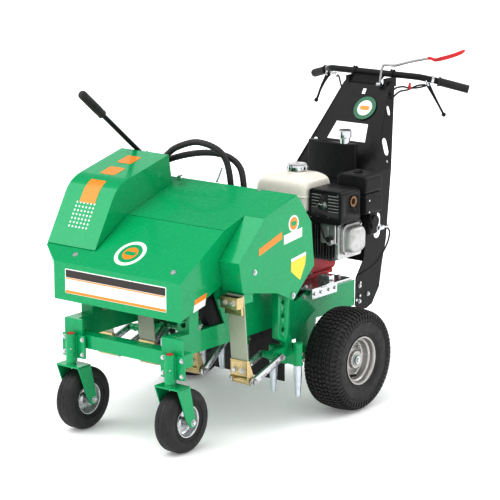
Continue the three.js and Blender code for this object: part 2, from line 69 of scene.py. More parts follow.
# the world is white from the horizon down and grey overhead, so the paint's gloss has something to show
WORLD_STRENGTH = 1.15
WORLD_GREY = (0.26, 0.265, 0.27, 1)
WORLD_WHITE = (1, 1, 1, 1)
# by the height of the direction looked in
WORLD_STEPS = ((0.51, WORLD_WHITE), (0.56, WORLD_GREY), (0.74, WORLD_GREY))
VIEW_GAMMA = 0.8
FLOOR_HALF = 60                           # metres
KEY = dict(source=(-0.42, -0.6, 1.0), strength=1.9, spread=60)
FILL = dict(source=(0.62, -0.3, 1.0), strength=0.85, spread=90)
RIM_LAMP = dict(where=(2.5, 3.2, 3.6), towards=(0, 0, 0.7), size=(3.0, 2.0), power=60)


def camera():
    data = bpy.data.cameras.new("camera")
    data.lens = LENS
    data.sensor_width = SENSOR
    data.clip_end = 200
    cam = bpy.data.objects.new("camera", data)
    cam.location = Vector(CAMERA_AT) + Vector((0, AXLE_Y, 0))
    cam.rotation_euler = (math.radians(90 - CAMERA_TILT), 0, math.radians(CAMERA_TURN))
    bpy.context.collection.objects.link(cam)
    bpy.context.scene.camera = cam


def area_light(name, where, towards, size, power):
    data = bpy.data.lights.new(name, "AREA")
    data.shape = "RECTANGLE"
    data.size, data.size_y = size
    data.energy = power
    lamp = bpy.data.objects.new(name, data)
    lamp.location = where
    lamp.rotation_euler = (Vector(towards) - Vector(where)).to_track_quat("-Z", "Y").to_euler()
    bpy.context.collection.objects.link(lamp)


def sun_light(name, source, strength, spread):
    """a far, soft light from a direction; spread is its width in degrees"""
    data = bpy.data.lights.new(name, "SUN")
    data.energy = strength
    data.angle = math.radians(spread)
    lamp = bpy.data.objects.new(name, data)
    lamp.rotation_euler = (-Vector(source)).to_track_quat("-Z", "Y").to_euler()
    bpy.context.collection.objects.link(lamp)


def studio():
    world = bpy.data.worlds.new("studio")
    bpy.context.scene.world = world
    world.use_nodes = True
    tree = world.node_tree
    back = tree.nodes["Background"]
    coord = tree.nodes.new("ShaderNodeTexCoord")
    split = tree.nodes.new("ShaderNodeSeparateXYZ")
    ramp = tree.nodes.new("ShaderNodeValToRGB")
    tree.links.new(coord.outputs["Generated"], split.inputs[0])
    tree.links.new(split.outputs["Z"], ramp.inputs["Fac"])
    stops = ramp.color_ramp.elements
    stops[0].position, stops[1].position = 0.0, 0.95
    stops[0].color = stops[1].color = WORLD_WHITE
    for height, colour in WORLD_STEPS:
        stops.new(height).color = colour
    tree.links.new(ramp.outputs["Color"], back.inputs["Color"])
    back.inputs["Strength"].default_value = WORLD_STRENGTH
    bpy.context.scene.view_settings.view_transform = "Standard"
    bpy.context.scene.view_settings.gamma = VIEW_GAMMA
    floor = bpy.data.meshes.new("floor")
    corners = [(x * FLOOR_HALF, y * FLOOR_HALF, 0) for x, y in ((-1, -1), (1, -1), (1, 1), (-1, 1))]
    floor.from_pydata(corners, [], [(0, 1, 2, 3)])
    thing = bpy.data.objects.new("floor", floor)
    floor.materials.append(floor_paint())
    bpy.context.collection.objects.link(thing)
    sun_light("key", **KEY)
    sun_light("fill", **FILL)
    area_light("rim", **RIM_LAMP)


# ---------------------------------------------------------------- materials
class Look:
    """A material whose nodes are put together step by step; positions are in metres on the piece itself."""

    def __init__(self, name, colour, rough, metal=0.0, **sockets):
        self.mat = bpy.data.materials.new(name)
        self.mat.use_nodes = True
        self.tree = self.mat.node_tree
        self.shader = self.tree.nodes["Principled BSDF"]
        self.mat.diffuse_color = (*colour, 1)
        self.shader.inputs["Base Color"].default_value = (*colour, 1)
        self.shader.inputs["Roughness"].default_value = rough
        self.shader.inputs["Metallic"].default_value = metal
        for key, value in sockets.items():
            self.shader.inputs[key.replace("_", " ")].default_value = value
        self.colour = (*colour, 1)
        self.coord = self.tree.nodes.new("ShaderNodeTexCoord").outputs["Object"]
        self.normal = None
        self.colour_out = None

    def node(self, kind, **values):
        n = self.tree.nodes.new(kind)
        for key, value in values.items():
            if key in n.inputs:
                n.inputs[key].default_value = value
            else:
                setattr(n, key, value)
        return n

    def link(self, a, b):
        self.tree.links.new(a, b)

    def noise(self, scale, detail=3.0, rough=0.55, stretch=None):
        n = self.node("ShaderNodeTexNoise", Scale=scale, Detail=detail, Roughness=rough)
        source = self.coord
        if stretch:
            m = self.node("ShaderNodeMapping", Scale=stretch)
            self.link(self.coord, m.inputs["Vector"])
            source = m.outputs[0]
        self.link(source, n.inputs["Vector"])
        return n.outputs["Fac"]

    def ramp(self, value, low, high, a=0.0, b=1.0):
        n = self.node("ShaderNodeMapRange")
        n.inputs["From Min"].default_value = low
        n.inputs["From Max"].default_value = high
        n.inputs["To Min"].default_value = a
        n.inputs["To Max"].default_value = b
        self.link(value, n.inputs["Value"])
        return n.outputs[0]

    def tint(self, value, colour):
        """mixes another colour over the base where value is 1"""
        n = self.node("ShaderNodeMix", data_type="RGBA")
        if self.colour_out is None:
            n.inputs[6].default_value = self.colour
        else:
            self.link(self.colour_out, n.inputs[6])
        n.inputs[7].default_value = (*colour, 1)
        self.link(value, n.inputs[0])
        self.colour_out = n.outputs[2]
        self.link(self.colour_out, self.shader.inputs["Base Color"])
        return self

    def mottle(self, noise, low, high, amount, colour):
        """patches of another colour where the noise passes from low to high, at most by the amount"""
        return self.tint(self.ramp(self.noise(*noise), low, high, 0.0, amount), colour)

    def gloss(self, noise, smooth, rough):
        """roughness that wanders between two values with the noise"""
        self.link(self.ramp(self.noise(*noise), 0.3, 0.8, smooth, rough), self.shader.inputs["Roughness"])
        return self

    def bump(self, value, height, strength=1.0):
        n = self.node("ShaderNodeBump", Distance=height, Strength=strength)
        self.link(value, n.inputs["Height"])
        if self.normal is not None:
            self.link(self.normal, n.inputs["Normal"])
        self.normal = n.outputs[0]
        self.link(self.normal, self.shader.inputs["Normal"])
        return self

    def height_band(self, low, high):
        """1 at and below the low height, 0 above the high one, in metres on the piece at rest"""
        s = self.node("ShaderNodeSeparateXYZ")
        self.link(self.coord, s.inputs[0])
        return self.ramp(s.outputs["Z"], high, low)

    def times(self, a, b):
        n = self.node("ShaderNodeMath", operation="MULTIPLY")
        self.link(a, n.inputs[0])
        self.link(b, n.inputs[1])
        return n.outputs[0]


def enamel(name, colour, rough=0.22, dark=0.75, coat=0.6, peel=0.00006):
    """glossy machine enamel: orange peel, faint mottling, fine scuffs and dust low down"""
    k = Look(name, colour, rough, Coat_Weight=coat, Coat_Roughness=0.06, Coat_IOR=1.4,
             Specular_IOR_Level=0.25)
    shade = tuple(c * dark for c in colour)
    dust = tuple(0.6 * c + 0.08 for c in colour)
    k.mottle((9, 4), 0.35, 0.75, 0.35, shade)
    k.mottle((160, 5, 0.7), 0.62, 0.8, 0.05, dust)
    k.tint(k.times(k.height_band(0.0, 0.35), k.ramp(k.noise(45, 5, 0.7), 0.45, 0.75, 0.0, 0.35)), dust)
    k.gloss((60, 4), rough * 0.7, rough * 1.5)
    k.bump(k.noise(420, 2), peel, 0.3)
    k.bump(k.noise(9, 2), 0.0004, 0.12)
    return k.mat


def satin_black(name, colour=(0.012, 0.012, 0.013), rough=0.36, peel=0.00012, scale=700):
    k = Look(name, colour, rough, Specular_IOR_Level=0.22)
    k.mottle((30, 5, 0.65), 0.45, 0.8, 0.5, (0.024, 0.0235, 0.023))
    k.mottle((220, 4, 0.7), 0.64, 0.8, 0.2, (0.06, 0.058, 0.056))
    k.gloss((80, 4), rough * 0.75, rough * 1.35)
    k.bump(k.noise(scale, 3), peel, 0.7)
    return k.mat


def rubber(name, colour=(0.018, 0.0175, 0.018), rough=0.62):
    k = Look(name, colour, rough)
    k.mottle((18, 5, 0.6), 0.4, 0.75, 0.6, (0.034, 0.033, 0.032))
    k.mottle((130, 5, 0.7), 0.58, 0.78, 0.35, (0.075, 0.07, 0.064))
    k.gloss((50, 4), rough * 0.75, min(0.95, rough * 1.3))
    k.bump(k.noise(900, 3), 0.00012, 0.8)
    return k.mat


def plated(name, colour=(0.62, 0.63, 0.64), rough=0.26, stain=(0.36, 0.33, 0.28), brushed=None):
    """zinc or chromate plate: cloudy grain, stains and fine scratches along one way"""
    k = Look(name, colour, rough, metal=1.0)
    k.mottle((35, 5, 0.6), 0.4, 0.75, 0.3, tuple(c * 0.75 for c in colour))
    k.mottle((190, 5, 0.75), 0.62, 0.8, 0.25, stain)
    k.gloss((90, 5, 0.7), rough * 0.7, rough * 1.8)
    k.bump(k.noise(260, 4, 0.6, brushed or (1, 1, 6)), 0.000015, 0.4)
    return k.mat


def cast_metal(name, colour=(0.46, 0.46, 0.46), rough=0.42, grain=0.0003):
    k = Look(name, colour, rough, metal=0.85)
    k.mottle((40, 5, 0.65), 0.42, 0.75, 0.5, tuple(c * 0.6 for c in colour))
    k.mottle((14, 4), 0.55, 0.8, 0.4, (0.2, 0.18, 0.16))
    k.gloss((120, 4), rough * 0.8, rough * 1.4)
    k.bump(k.noise(520, 4, 0.7), grain, 0.7)
    return k.mat


def printed(name, colour, rough=0.32):
    """a vinyl label: flat print with a faint wrinkle and rub marks"""
    k = Look(name, colour, rough, Coat_Weight=0.3, Coat_Roughness=0.12)
    k.mottle((30, 4), 0.45, 0.8, 0.25, tuple(c * 0.8 for c in colour))
    k.mottle((240, 4, 0.7), 0.66, 0.8, 0.3, (0.5, 0.48, 0.44))
    k.bump(k.noise(60, 3), 0.0002, 0.3)
    return k.mat


def floor_paint():
    k = Look("floor_paint", (0.93, 0.93, 0.935), 0.55, Emission_Color=(1, 1, 1, 1), Emission_Strength=0.16)
    k.mottle((0.9, 3), 0.4, 0.7, 0.3, (0.9, 0.9, 0.905))
    return k.mat


GREEN = enamel("green_enamel", (0.0, 0.34, 0.128), 0.24, 0.88)
CREAM = enamel("cream_enamel", (0.74, 0.71, 0.64), 0.25, 0.85, 0.5)
RED = enamel("red_enamel", (0.42, 0.006, 0.014), 0.3, 0.75, 0.3)
SPRING = enamel("spring_paint", (0.40, 0.43, 0.34), 0.34, 0.8, 0.25)
BLACK = satin_black("black_paint")
PLASTIC = satin_black("black_plastic", (0.014, 0.014, 0.015), 0.42, 0.00018, 420)
RUBBER = rubber("grip_rubber")
TYRE = rubber("tyre_rubber", (0.016, 0.0155, 0.016), 0.58)
HOSE = rubber("hose_cover", (0.02, 0.0195, 0.02), 0.5)
ZINC = plated("zinc_plate")
GOLD = plated("gold_chromate", (0.62, 0.50, 0.28), 0.3, (0.35, 0.22, 0.12))
CHROME = plated("chrome_plate", (0.62, 0.63, 0.645), 0.08, (0.5, 0.5, 0.5))
RIM = plated("rim_steel", (0.50, 0.49, 0.475), 0.34, (0.3, 0.27, 0.23), (1, 5, 5))
STEEL = plated("bare_steel", (0.42, 0.42, 0.43), 0.32)
RUSTY = plated("hot_steel", (0.30, 0.19, 0.12), 0.5, (0.12, 0.06, 0.03))
ALLOY = cast_metal("cast_alloy", (0.60, 0.60, 0.60), 0.38)
FINS = cast_metal("dark_casting", (0.10, 0.10, 0.10), 0.5)
COVER_ALLOY = cast_metal("sand_blasted_alloy", (0.58, 0.58, 0.575), 0.46, 0.0005)
CAST_BLACK = satin_black("black_casting", (0.015, 0.015, 0.016), 0.5, 0.0006, 260)
TINE = cast_metal("tine_steel", (0.66, 0.70, 0.75), 0.36, 0.00004)
HEAT_SILVER = enamel("heat_silver", (0.55, 0.55, 0.54), 0.45, 0.8, 0.1)
WHITE = printed("white_vinyl", (0.80, 0.80, 0.78))
ORANGE = printed("orange_vinyl", (0.86, 0.26, 0.015))
YELLOW = printed("yellow_vinyl", (0.85, 0.62, 0.04))
DARK = printed("dark_vinyl", (0.022, 0.016, 0.014))
GREEN_PRINT = printed("green_vinyl", (0.0, 0.13, 0.05))
RED_GRIP = rubber("red_grip", (0.62, 0.015, 0.02), 0.4)


# ---------------------------------------------------------------- shapes, in machine millimetres
def mirrored(half):
    """half of a wheel's outline, as (radius, along) points, with the other half after it"""
    return half + [(r, -x) for r, x in reversed(half)]


def spot(axis, u, v, w):
    """a point at w along an axis, with u and v across it: (Y, Z), (X, Z) or (X, Y)"""
    return {"x": (w, u, v), "y": (u, w, v), "z": (u, v, w)}[axis]


def circle(u, v, r, n=32, turn=0.0):
    return [(u + r * math.cos(TAU * (i + turn) / n),
             v + r * math.sin(TAU * (i + turn) / n)) for i in range(n)]


def loop(axis, w, u, v, r, n):
    """a closed line of points round a circle at w along an axis"""
    points = [spot(axis, a, b, w) for a, b in circle(u, v, r, n)]
    return points + points[:1]


def arc(u, v, r, a, b, n):
    steps = [math.radians(a + (b - a) * i / n) for i in range(n + 1)]
    return [(u + r * math.cos(t), v + r * math.sin(t)) for t in steps]


def rounded(u0, u1, v0, v1, r, n=6):
    return (arc(u1 - r, v1 - r, r, 0, 90, n) + arc(u0 + r, v1 - r, r, 90, 180, n)
            + arc(u0 + r, v0 + r, r, 180, 270, n) + arc(u1 - r, v0 + r, r, 270, 360, n))


def fillet(points, radius, n=5):
    """a closed outline with its corners rounded; radius is one number or one for each corner"""
    out = []
    count = len(points)
    for i, p in enumerate(points):
        r = radius[i] if isinstance(radius, (list, tuple)) else radius
        a, b, c = Vector(points[i - 1]), Vector(p), Vector(points[(i + 1) % count])
        u, v = (a - b), (c - b)
        if r <= 0 or u.length < 1e-6 or v.length < 1e-6:
            out.append(tuple(b))
            continue
        angle = u.angle(v)
        reach = min(r / math.tan(angle / 2), u.length * 0.45, v.length * 0.45)
        p0, p1 = b + u.normalized() * reach, b + v.normalized() * reach
        for k in range(n + 1):
            t = k / n
            q = p0 * (1 - t) ** 2 + b * 2 * t * (1 - t) + p1 * t * t
            out.append(tuple(q))
    return out


def smooth_path(points, per=6):
    """a smooth line through the points, each stretch cut into the same number of steps"""
    pts = [Vector(p) for p in points]
    pts = [pts[0] * 2 - pts[1]] + pts + [pts[-1] * 2 - pts[-2]]
    out = []
    for i in range(1, len(pts) - 2):
        p0, p1, p2, p3 = pts[i - 1:i + 3]
        for k in range(per):
            t = k / per
            out.append(0.5 * ((2 * p1) + (p2 - p0) * t + (2 * p0 - 5 * p1 + 4 * p2 - p3) * t * t
                              + (3 * p1 - p0 - 3 * p2 + p3) * t ** 3))
    out.append(pts[-2])
    return out


def aim(where, towards):
    """a matrix that puts local +Z along a direction at a place"""
    return Matrix.Translation(where) @ Vector(towards).to_track_quat("Z", "Y").to_matrix().to_4x4()


class Build:
    """Collects closed shapes into one piece."""

    def __init__(self):
        self.bm = bmesh.new()

    def take(self, t, bevel=0.0, seg=2, angle=35):
        bmesh.ops.recalc_face_normals(t, faces=t.faces)
        if bevel:
            limit = math.radians(angle)
            sharp = [e for e in t.edges if len(e.link_faces) == 2 and e.calc_face_angle() > limit]
            bmesh.ops.bevel(t, geom=sharp, offset=bevel, segments=seg, profile=0.5, affect="EDGES",
                            clamp_overlap=True)
        mesh = bpy.data.meshes.new("part")
        t.to_mesh(mesh)
        t.free()
        self.bm.from_mesh(mesh)
        bpy.data.meshes.remove(mesh)
        return self

    def prism(self, axis, outline, a, b, bevel=0.0, seg=2, move=None):
        t = bmesh.new()
        low = [t.verts.new(spot(axis, u, v, a)) for u, v in outline]
        high = [t.verts.new(spot(axis, u, v, b)) for u, v in outline]
        t.faces.new(low)
        t.faces.new(high)
        n = len(outline)
        for i in range(n):
            t.faces.new((low[i], low[(i + 1) % n], high[(i + 1) % n], high[i]))
        if move is not None:
            t.transform(move)
        return self.take(t, bevel, seg)

    def box(self, x0, x1, y0, y1, z0, z1, bevel=1.0, seg=2, move=None):
        return self.prism("z", [(x0, y0), (x1, y0), (x1, y1), (x0, y1)], z0, z1, bevel, seg, move)

    def rod(self, axis, u, v, r, a, b, n=32, bevel=0.8, move=None):
        return self.prism(axis, circle(u, v, r, n), a, b, bevel, 2, move)

    def disc(self, where, towards, r, h, n=28, bevel=0.5, turn=0.0):
        return self.prism("z", circle(0, 0, r, n, turn), 0, h, bevel, 2, aim(where, towards))

    def hexbolt(self, where, towards, r=6.5, h=5.0, washer=1.7, turn=0.0):
        """a hexagon head on a flat washer, with a shallow dome on the head"""
        m = aim(where, towards)
        self.prism("z", circle(0, 0, r * washer, 28), 0, 1.6, 0.4, 1, m)
        self.prism("z", circle(0, 0, r * 1.12, 6, turn), 1.4, 1.4 + h, 0.7, 2, m)
        return self.prism("z", circle(0, 0, r * 0.7, 20), 1.4 + h * 0.8, 1.4 + h * 1.1, 0.4, 1, m)

    def lathe(self, axis, at, profile, n=64):
        """turns (radius, along) points about an axis through at; the outline closes on itself or the axis"""
        t = bmesh.new()
        base = Vector(at)
        along = {"x": Vector((1, 0, 0)), "y": Vector((0, 1, 0)), "z": Vector((0, 0, 1))}[axis]
        u = {"x": Vector((0, 1, 0)), "y": Vector((1, 0, 0)), "z": Vector((1, 0, 0))}[axis]
        v = along.cross(u)
        rings = []
        for r, w in profile:
            if r < 1e-6:
                rings.append([t.verts.new(base + along * w)])
            else:
                spokes = [u * math.cos(TAU * i / n) + v * math.sin(TAU * i / n) for i in range(n)]
                rings.append([t.verts.new(base + along * w + spoke * r) for spoke in spokes])
        pairs = list(zip(rings, rings[1:]))
        if len(rings[0]) > 1:
            pairs.append((rings[-1], rings[0]))
        for a, b in pairs:
            for i in range(n):
                j = (i + 1) % n
                if len(a) == 1 and len(b) == 1:
                    continue
                if len(a) == 1:
                    t.faces.new((a[0], b[j], b[i]))
                elif len(b) == 1:
                    t.faces.new((a[i], a[j], b[0]))
                else:
                    t.faces.new((a[i], a[j], b[j], b[i]))
        return self.take(t)

    def sweep(self, path, radius, n=16, cap=True, squeeze=1.0):
        """a round bar along a line of points; radius is one number or one for each point"""
        pts = [Vector(p) for p in path]
        dirs = [((pts[min(i + 1, len(pts) - 1)] - pts[max(i - 1, 0)])).normalized() for i in range(len(pts))]
        up = Vector((0, 0, 1)) if abs(dirs[0].z) < 0.9 else Vector((0, 1, 0))
        side = dirs[0].cross(up).normalized()
        rings = []
        for i, (p, d) in enumerate(zip(pts, dirs)):
            side = (side - d * side.dot(d)).normalized()
            other = d.cross(side)
            r = radius[i] if isinstance(radius, (list, tuple)) else radius
            turns = [(r * math.cos(TAU * k / n), r * squeeze * math.sin(TAU * k / n)) for k in range(n)]
            rings.append([p + side * c + other * q for c, q in turns])
        return self.loft(rings, cap)

    def loft(self, outlines, cap=True):
        """a skin over outlines that all have the same number of points"""
        t = bmesh.new()
        rings = [[t.verts.new(p) for p in line] for line in outlines]
        for a, b in zip(rings, rings[1:]):
            n = len(a)
            for k in range(n):
                t.faces.new((a[k], a[(k + 1) % n], b[(k + 1) % n], b[k]))
        if cap:
            t.faces.new(rings[0])
            t.faces.new(rings[-1])
        return self.take(t)

    def ball(self, at, r, n=24, stretch=(1, 1, 1)):
        rows = n // 2
        profile = [(r * math.sin(math.pi * i / rows),
                    -r * math.cos(math.pi * i / rows)) for i in range(rows + 1)]
        profile[0] = (0, -r)
        profile[-1] = (0, r)
        done = Build().lathe("z", (0, 0, 0), profile, n).bm
        done.transform(Matrix.Translation(at) @ Matrix.Diagonal((*stretch, 1)))
        return self.take(done)

    def plate(self, points, origin, u, v, thick):
        """a thin plate drawn in a plane through origin with directions u and v"""
        m = Matrix((u.to_4d(), v.to_4d(), u.cross(v).to_4d(), Vector((0, 0, 0, 1)))).transposed()
        m = Matrix.Translation(origin) @ Matrix([[*row[:3], 0] for row in m[:3]] + [[0, 0, 0, 1]])
        return self.prism("z", points, 0, thick, move=m)

    def piece(self, name, material, node=None, **how):
        mesh = bpy.data.meshes.new(name)
        self.bm.to_mesh(mesh)
        self.bm.free()
        mesh.transform(TO_FRAME)
        return place(name, mesh, material, node, **how)


def body_of(node):
    for body, names in frame["record"]["behaviour"]["bodies"].items():
        if node in names:
            return body
    return "chassis"


def place(name, mesh, material, node=None, body=None, slot=None, smooth=38, weighted=True):
    """puts a mesh in the scene, for a CAD node on that node's body, or as a piece of its own"""
    mesh.materials.clear()
    mesh.materials.append(material)
    for p in mesh.polygons:
        p.use_smooth = True
    mesh.set_sharp_from_angle(angle=math.radians(smooth))
    thing = bpy.data.objects.new(name, mesh)
    bpy.context.collection.objects.link(thing)
    if weighted:
        thing.modifiers.new("normals", "WEIGHTED_NORMAL").keep_sharp = True
    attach(thing, body or body_of(node))
    if node:
        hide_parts(node)
    return thing


def refined(node, material, bevel=1.0, seg=2, cutters=()):
    """the frame's own solid with flat faces made whole again and its edges broken"""
    source = frame["nodes"][node]
    t = bmesh.new()
    t.from_mesh(source.data)
    bmesh.ops.remove_doubles(t, verts=t.verts, dist=2e-6)
    bmesh.ops.dissolve_limit(t, angle_limit=math.radians(0.6), verts=t.verts, edges=t.edges)
    mesh = bpy.data.meshes.new(f"{node}_skin")
    t.to_mesh(mesh)
    t.free()
    thing = place(f"{node}_skin", mesh, material, node, weighted=False)
    cut(thing, cutters)
    mod = thing.modifiers.new("edges", "BEVEL")
    mod.width = bevel * MM
    mod.segments = seg
    mod.limit_method = "ANGLE"
    mod.angle_limit = math.radians(37)
    mod.use_clamp_overlap = True
    mod.harden_normals = False
    thing.modifiers.new("normals", "WEIGHTED_NORMAL").keep_sharp = True
    return thing


def cut(thing, builds):
    """takes closed shapes away from a piece"""
    for i, b in enumerate(builds):
        mesh = bpy.data.meshes.new(f"cutter_{i}")
        b.bm.to_mesh(mesh)
        b.bm.free()
        mesh.transform(TO_FRAME)
        tool = bpy.data.objects.new(f"cutter_{i}", mesh)
        bpy.context.collection.objects.link(tool)
        mod = thing.modifiers.new("cut", "BOOLEAN")
        mod.operation = "DIFFERENCE"
        mod.solver = "EXACT"
        mod.object = tool
        bpy.context.view_layer.update()
        result = bpy.data.meshes.new_from_object(thing.evaluated_get(bpy.context.evaluated_depsgraph_get()))
        thing.modifiers.remove(mod)
        thing.data = result
        bpy.data.objects.remove(tool)
    return thing


# ---------------------------------------------------------------- rear wheels
TYRE_R = 190.5
LUG_ROWS = 62
LUG_CELLS = 6                             # blocks across the tread
TREAD_HALF = 50
LUG_DEPTH = 6.5
WHEEL_BOLTS = (53, 4)                     # radius and number


def crown(x):
    """radius of the tread's running face at a distance from its middle"""
    x = abs(x)
    if x < 52:
        return TYRE_R - 0.0016 * x * x
    if x < 70:
        return TYRE_R - 4.3 - 0.030 * (x - 52) ** 2
    return TYRE_R - 14 - 2.2 * (x - 70)


def lug(t, outline, cx, depth):
    """one tread block: outline is (along the tread, across it) in millimetres"""
    low, high = [], []
    mid_s, mid_x = (sum(p[k] for p in outline) / len(outline) for k in (0, 1))
    for s, x in outline:
        for ring, shrink, lift in ((low, 1.0, -depth), (high, 0.86, 0.0)):
            across = mid_x + (x - mid_x) * shrink
            a = (mid_s + (s - mid_s) * shrink) / TYRE_R
            r = crown(across) + lift
            ring.append(t.verts.new((cx + across, r * math.cos(a), WHEEL_Z + r * math.sin(a))))
    n = len(outline)
    t.faces.new(low)
    t.faces.new(high)
    for i in range(n):
        t.faces.new((low[i], low[(i + 1) % n], high[(i + 1) % n], high[i]))


def rear_tyre(side, s):
    cx = s * WHEEL_X
    b = Build()
    half = [(84.9, 55.5), (88, 57), (93, 59), (99, 63.5), (108, 68), (120, 70.2), (134, 70.6), (143, 70),
            (149, 69.5), (152, 72.2), (160, 72.6), (168, 70), (176, 64), (182, 52), (184.4, 30), (185, 10)]
    b.lathe("x", (cx, 0, WHEEL_Z), mirrored(half), 120)
    for r, x in ((104, 66.6), (146, 70.6)):
        for k in (1, -1):
            b.lathe("x", (cx, 0, WHEEL_Z), [(r - 1.4, k * (x - 0.6)), (r, k * (x + 0.9)),
                                            (r + 1.4, k * (x - 0.6))], 96)
    t = bmesh.new()
    pitch = TAU * TYRE_R / LUG_ROWS
    wide = 2 * TREAD_HALF / LUG_CELLS
    for row in range(LUG_ROWS):
        base = row * pitch
        for c in range(LUG_CELLS):
            x0 = -TREAD_HALF + c * wide + 1.1
            x1 = x0 + wide - 2.2
            stagger = pitch / 2 if c % 2 else 0
            edge = []
            for k in range(4):
                x = x0 + (x1 - x0) * k / 3
                edge.append((base + stagger + 4.2 * math.sin(TAU * (x + TREAD_HALF) / (2 * wide)), x))
            lug(t, [(q[0] - 6.2, q[1]) for q in edge] + [(q[0] + 6.2, q[1]) for q in reversed(edge)], cx,
                LUG_DEPTH)
        for k in (1, -1):
            shift = base + (pitch / 2 if k > 0 else 0)
            lug(t, [(shift - 5.6, k * 52), (shift - 5.2, k * 62), (shift - 4.6, k * 71),
                    (shift + 4.6, k * 71), (shift + 5.2, k * 62), (shift + 5.6, k * 52)], cx, LUG_DEPTH + 0.5)
    for f in t.faces:
        f.normal_update()
    b.take(t)
    for row in range(LUG_ROWS):
        for k in (1, -1):
            a = (row + (0.5 if k > 0 else 0)) * TAU / LUG_ROWS
            turn = Matrix.Translation((cx, 0, WHEEL_Z)) @ Matrix.Rotation(a, 4, "X")
            rib = [(70.2, 176), (73.2, 172), (75.4, 165), (75.8, 158), (74.2, 153.5), (70.5, 153)]
            b.prism("y", [(k * x, r) for x, r in rib], -4.4, 4.4, 0.9, 1, turn)
    b.piece(f"turf_tyre_{side}", TYRE, f"rear_tyre_{side}", smooth=32)


def rear_rim(side, s):
    at = (s * WHEEL_X, 0, WHEEL_Z)
    face = [(84.2, 57.3), (89.6, 58.3), (91, 60), (90.4, 61.8), (87.5, 62.2), (84, 60.5), (81.5, 56),
            (80.4, 50), (79.8, 43), (76.8, 40.2), (73.6, 38.6), (72, 35), (71.4, 24), (69.5, 18), (65, 14.6),
            (58, 15.2), (49, 19.8), (42, 24.2), (37.2, 26), (34.4, 27.6), (33.4, 31), (33, 38.6),
            (31.6, 40.2), (17.6, 40.2)]
    rear = [(17.6, -30), (33.5, -30), (34, 18), (48, 12), (64, 6), (70, -8), (76, -30), (80, -50),
            (83.5, -57.5), (86, -61), (90.5, -61.4), (90.5, -58.8), (84.2, -57.3), (83.6, -40), (76.5, -22),
            (76, 16), (82.5, 40)]
    b = Build()
    b.lathe("x", at, [(r, s * x) for r, x in face + rear], 96)
    b.piece(f"wheel_rim_{side}", RIM, f"rear_rim_{side}", smooth=30)
    b = Build()
    for y, z in circle(0, WHEEL_Z, *WHEEL_BOLTS, 0.5):
        b.hexbolt((s * (WHEEL_X + 15.5), y, z), (s, 0, 0), 6.2, 6, 1.35)
    b.lathe("x", at, [(17.4, s * 40), (24, s * 40.2), (24, s * 42.2), (17.4, s * 42.2)], 40)
    b.piece(f"hub_nuts_{side}", STEEL, body=f"rear_wheel_{side}")
    b = Build()
    a = math.radians(238)
    foot = Vector((s * (WHEEL_X + 34), 66 * math.cos(a), WHEEL_Z + 66 * math.sin(a)))
    out = Vector((s, -0.35 * math.cos(a), -0.35 * math.sin(a))).normalized()
    b.sweep([foot - out * 8, foot, foot + out * 16, foot + out * 17, foot + out * 27],
            [6.2, 5.6, 4.2, 4.6, 4.6], 16)
    b.piece(f"tyre_valve_{side}", RUBBER, body=f"rear_wheel_{side}", slot="tyre_rubber")


# ---------------------------------------------------------------- front casters
CASTER_X = 229
STEM_Y = -843
CASTER_AXLE = (-784, 114)
FORK_HALF = 53
FORK_TOP = (242.6, 249)
STEM_TOP = 361.4


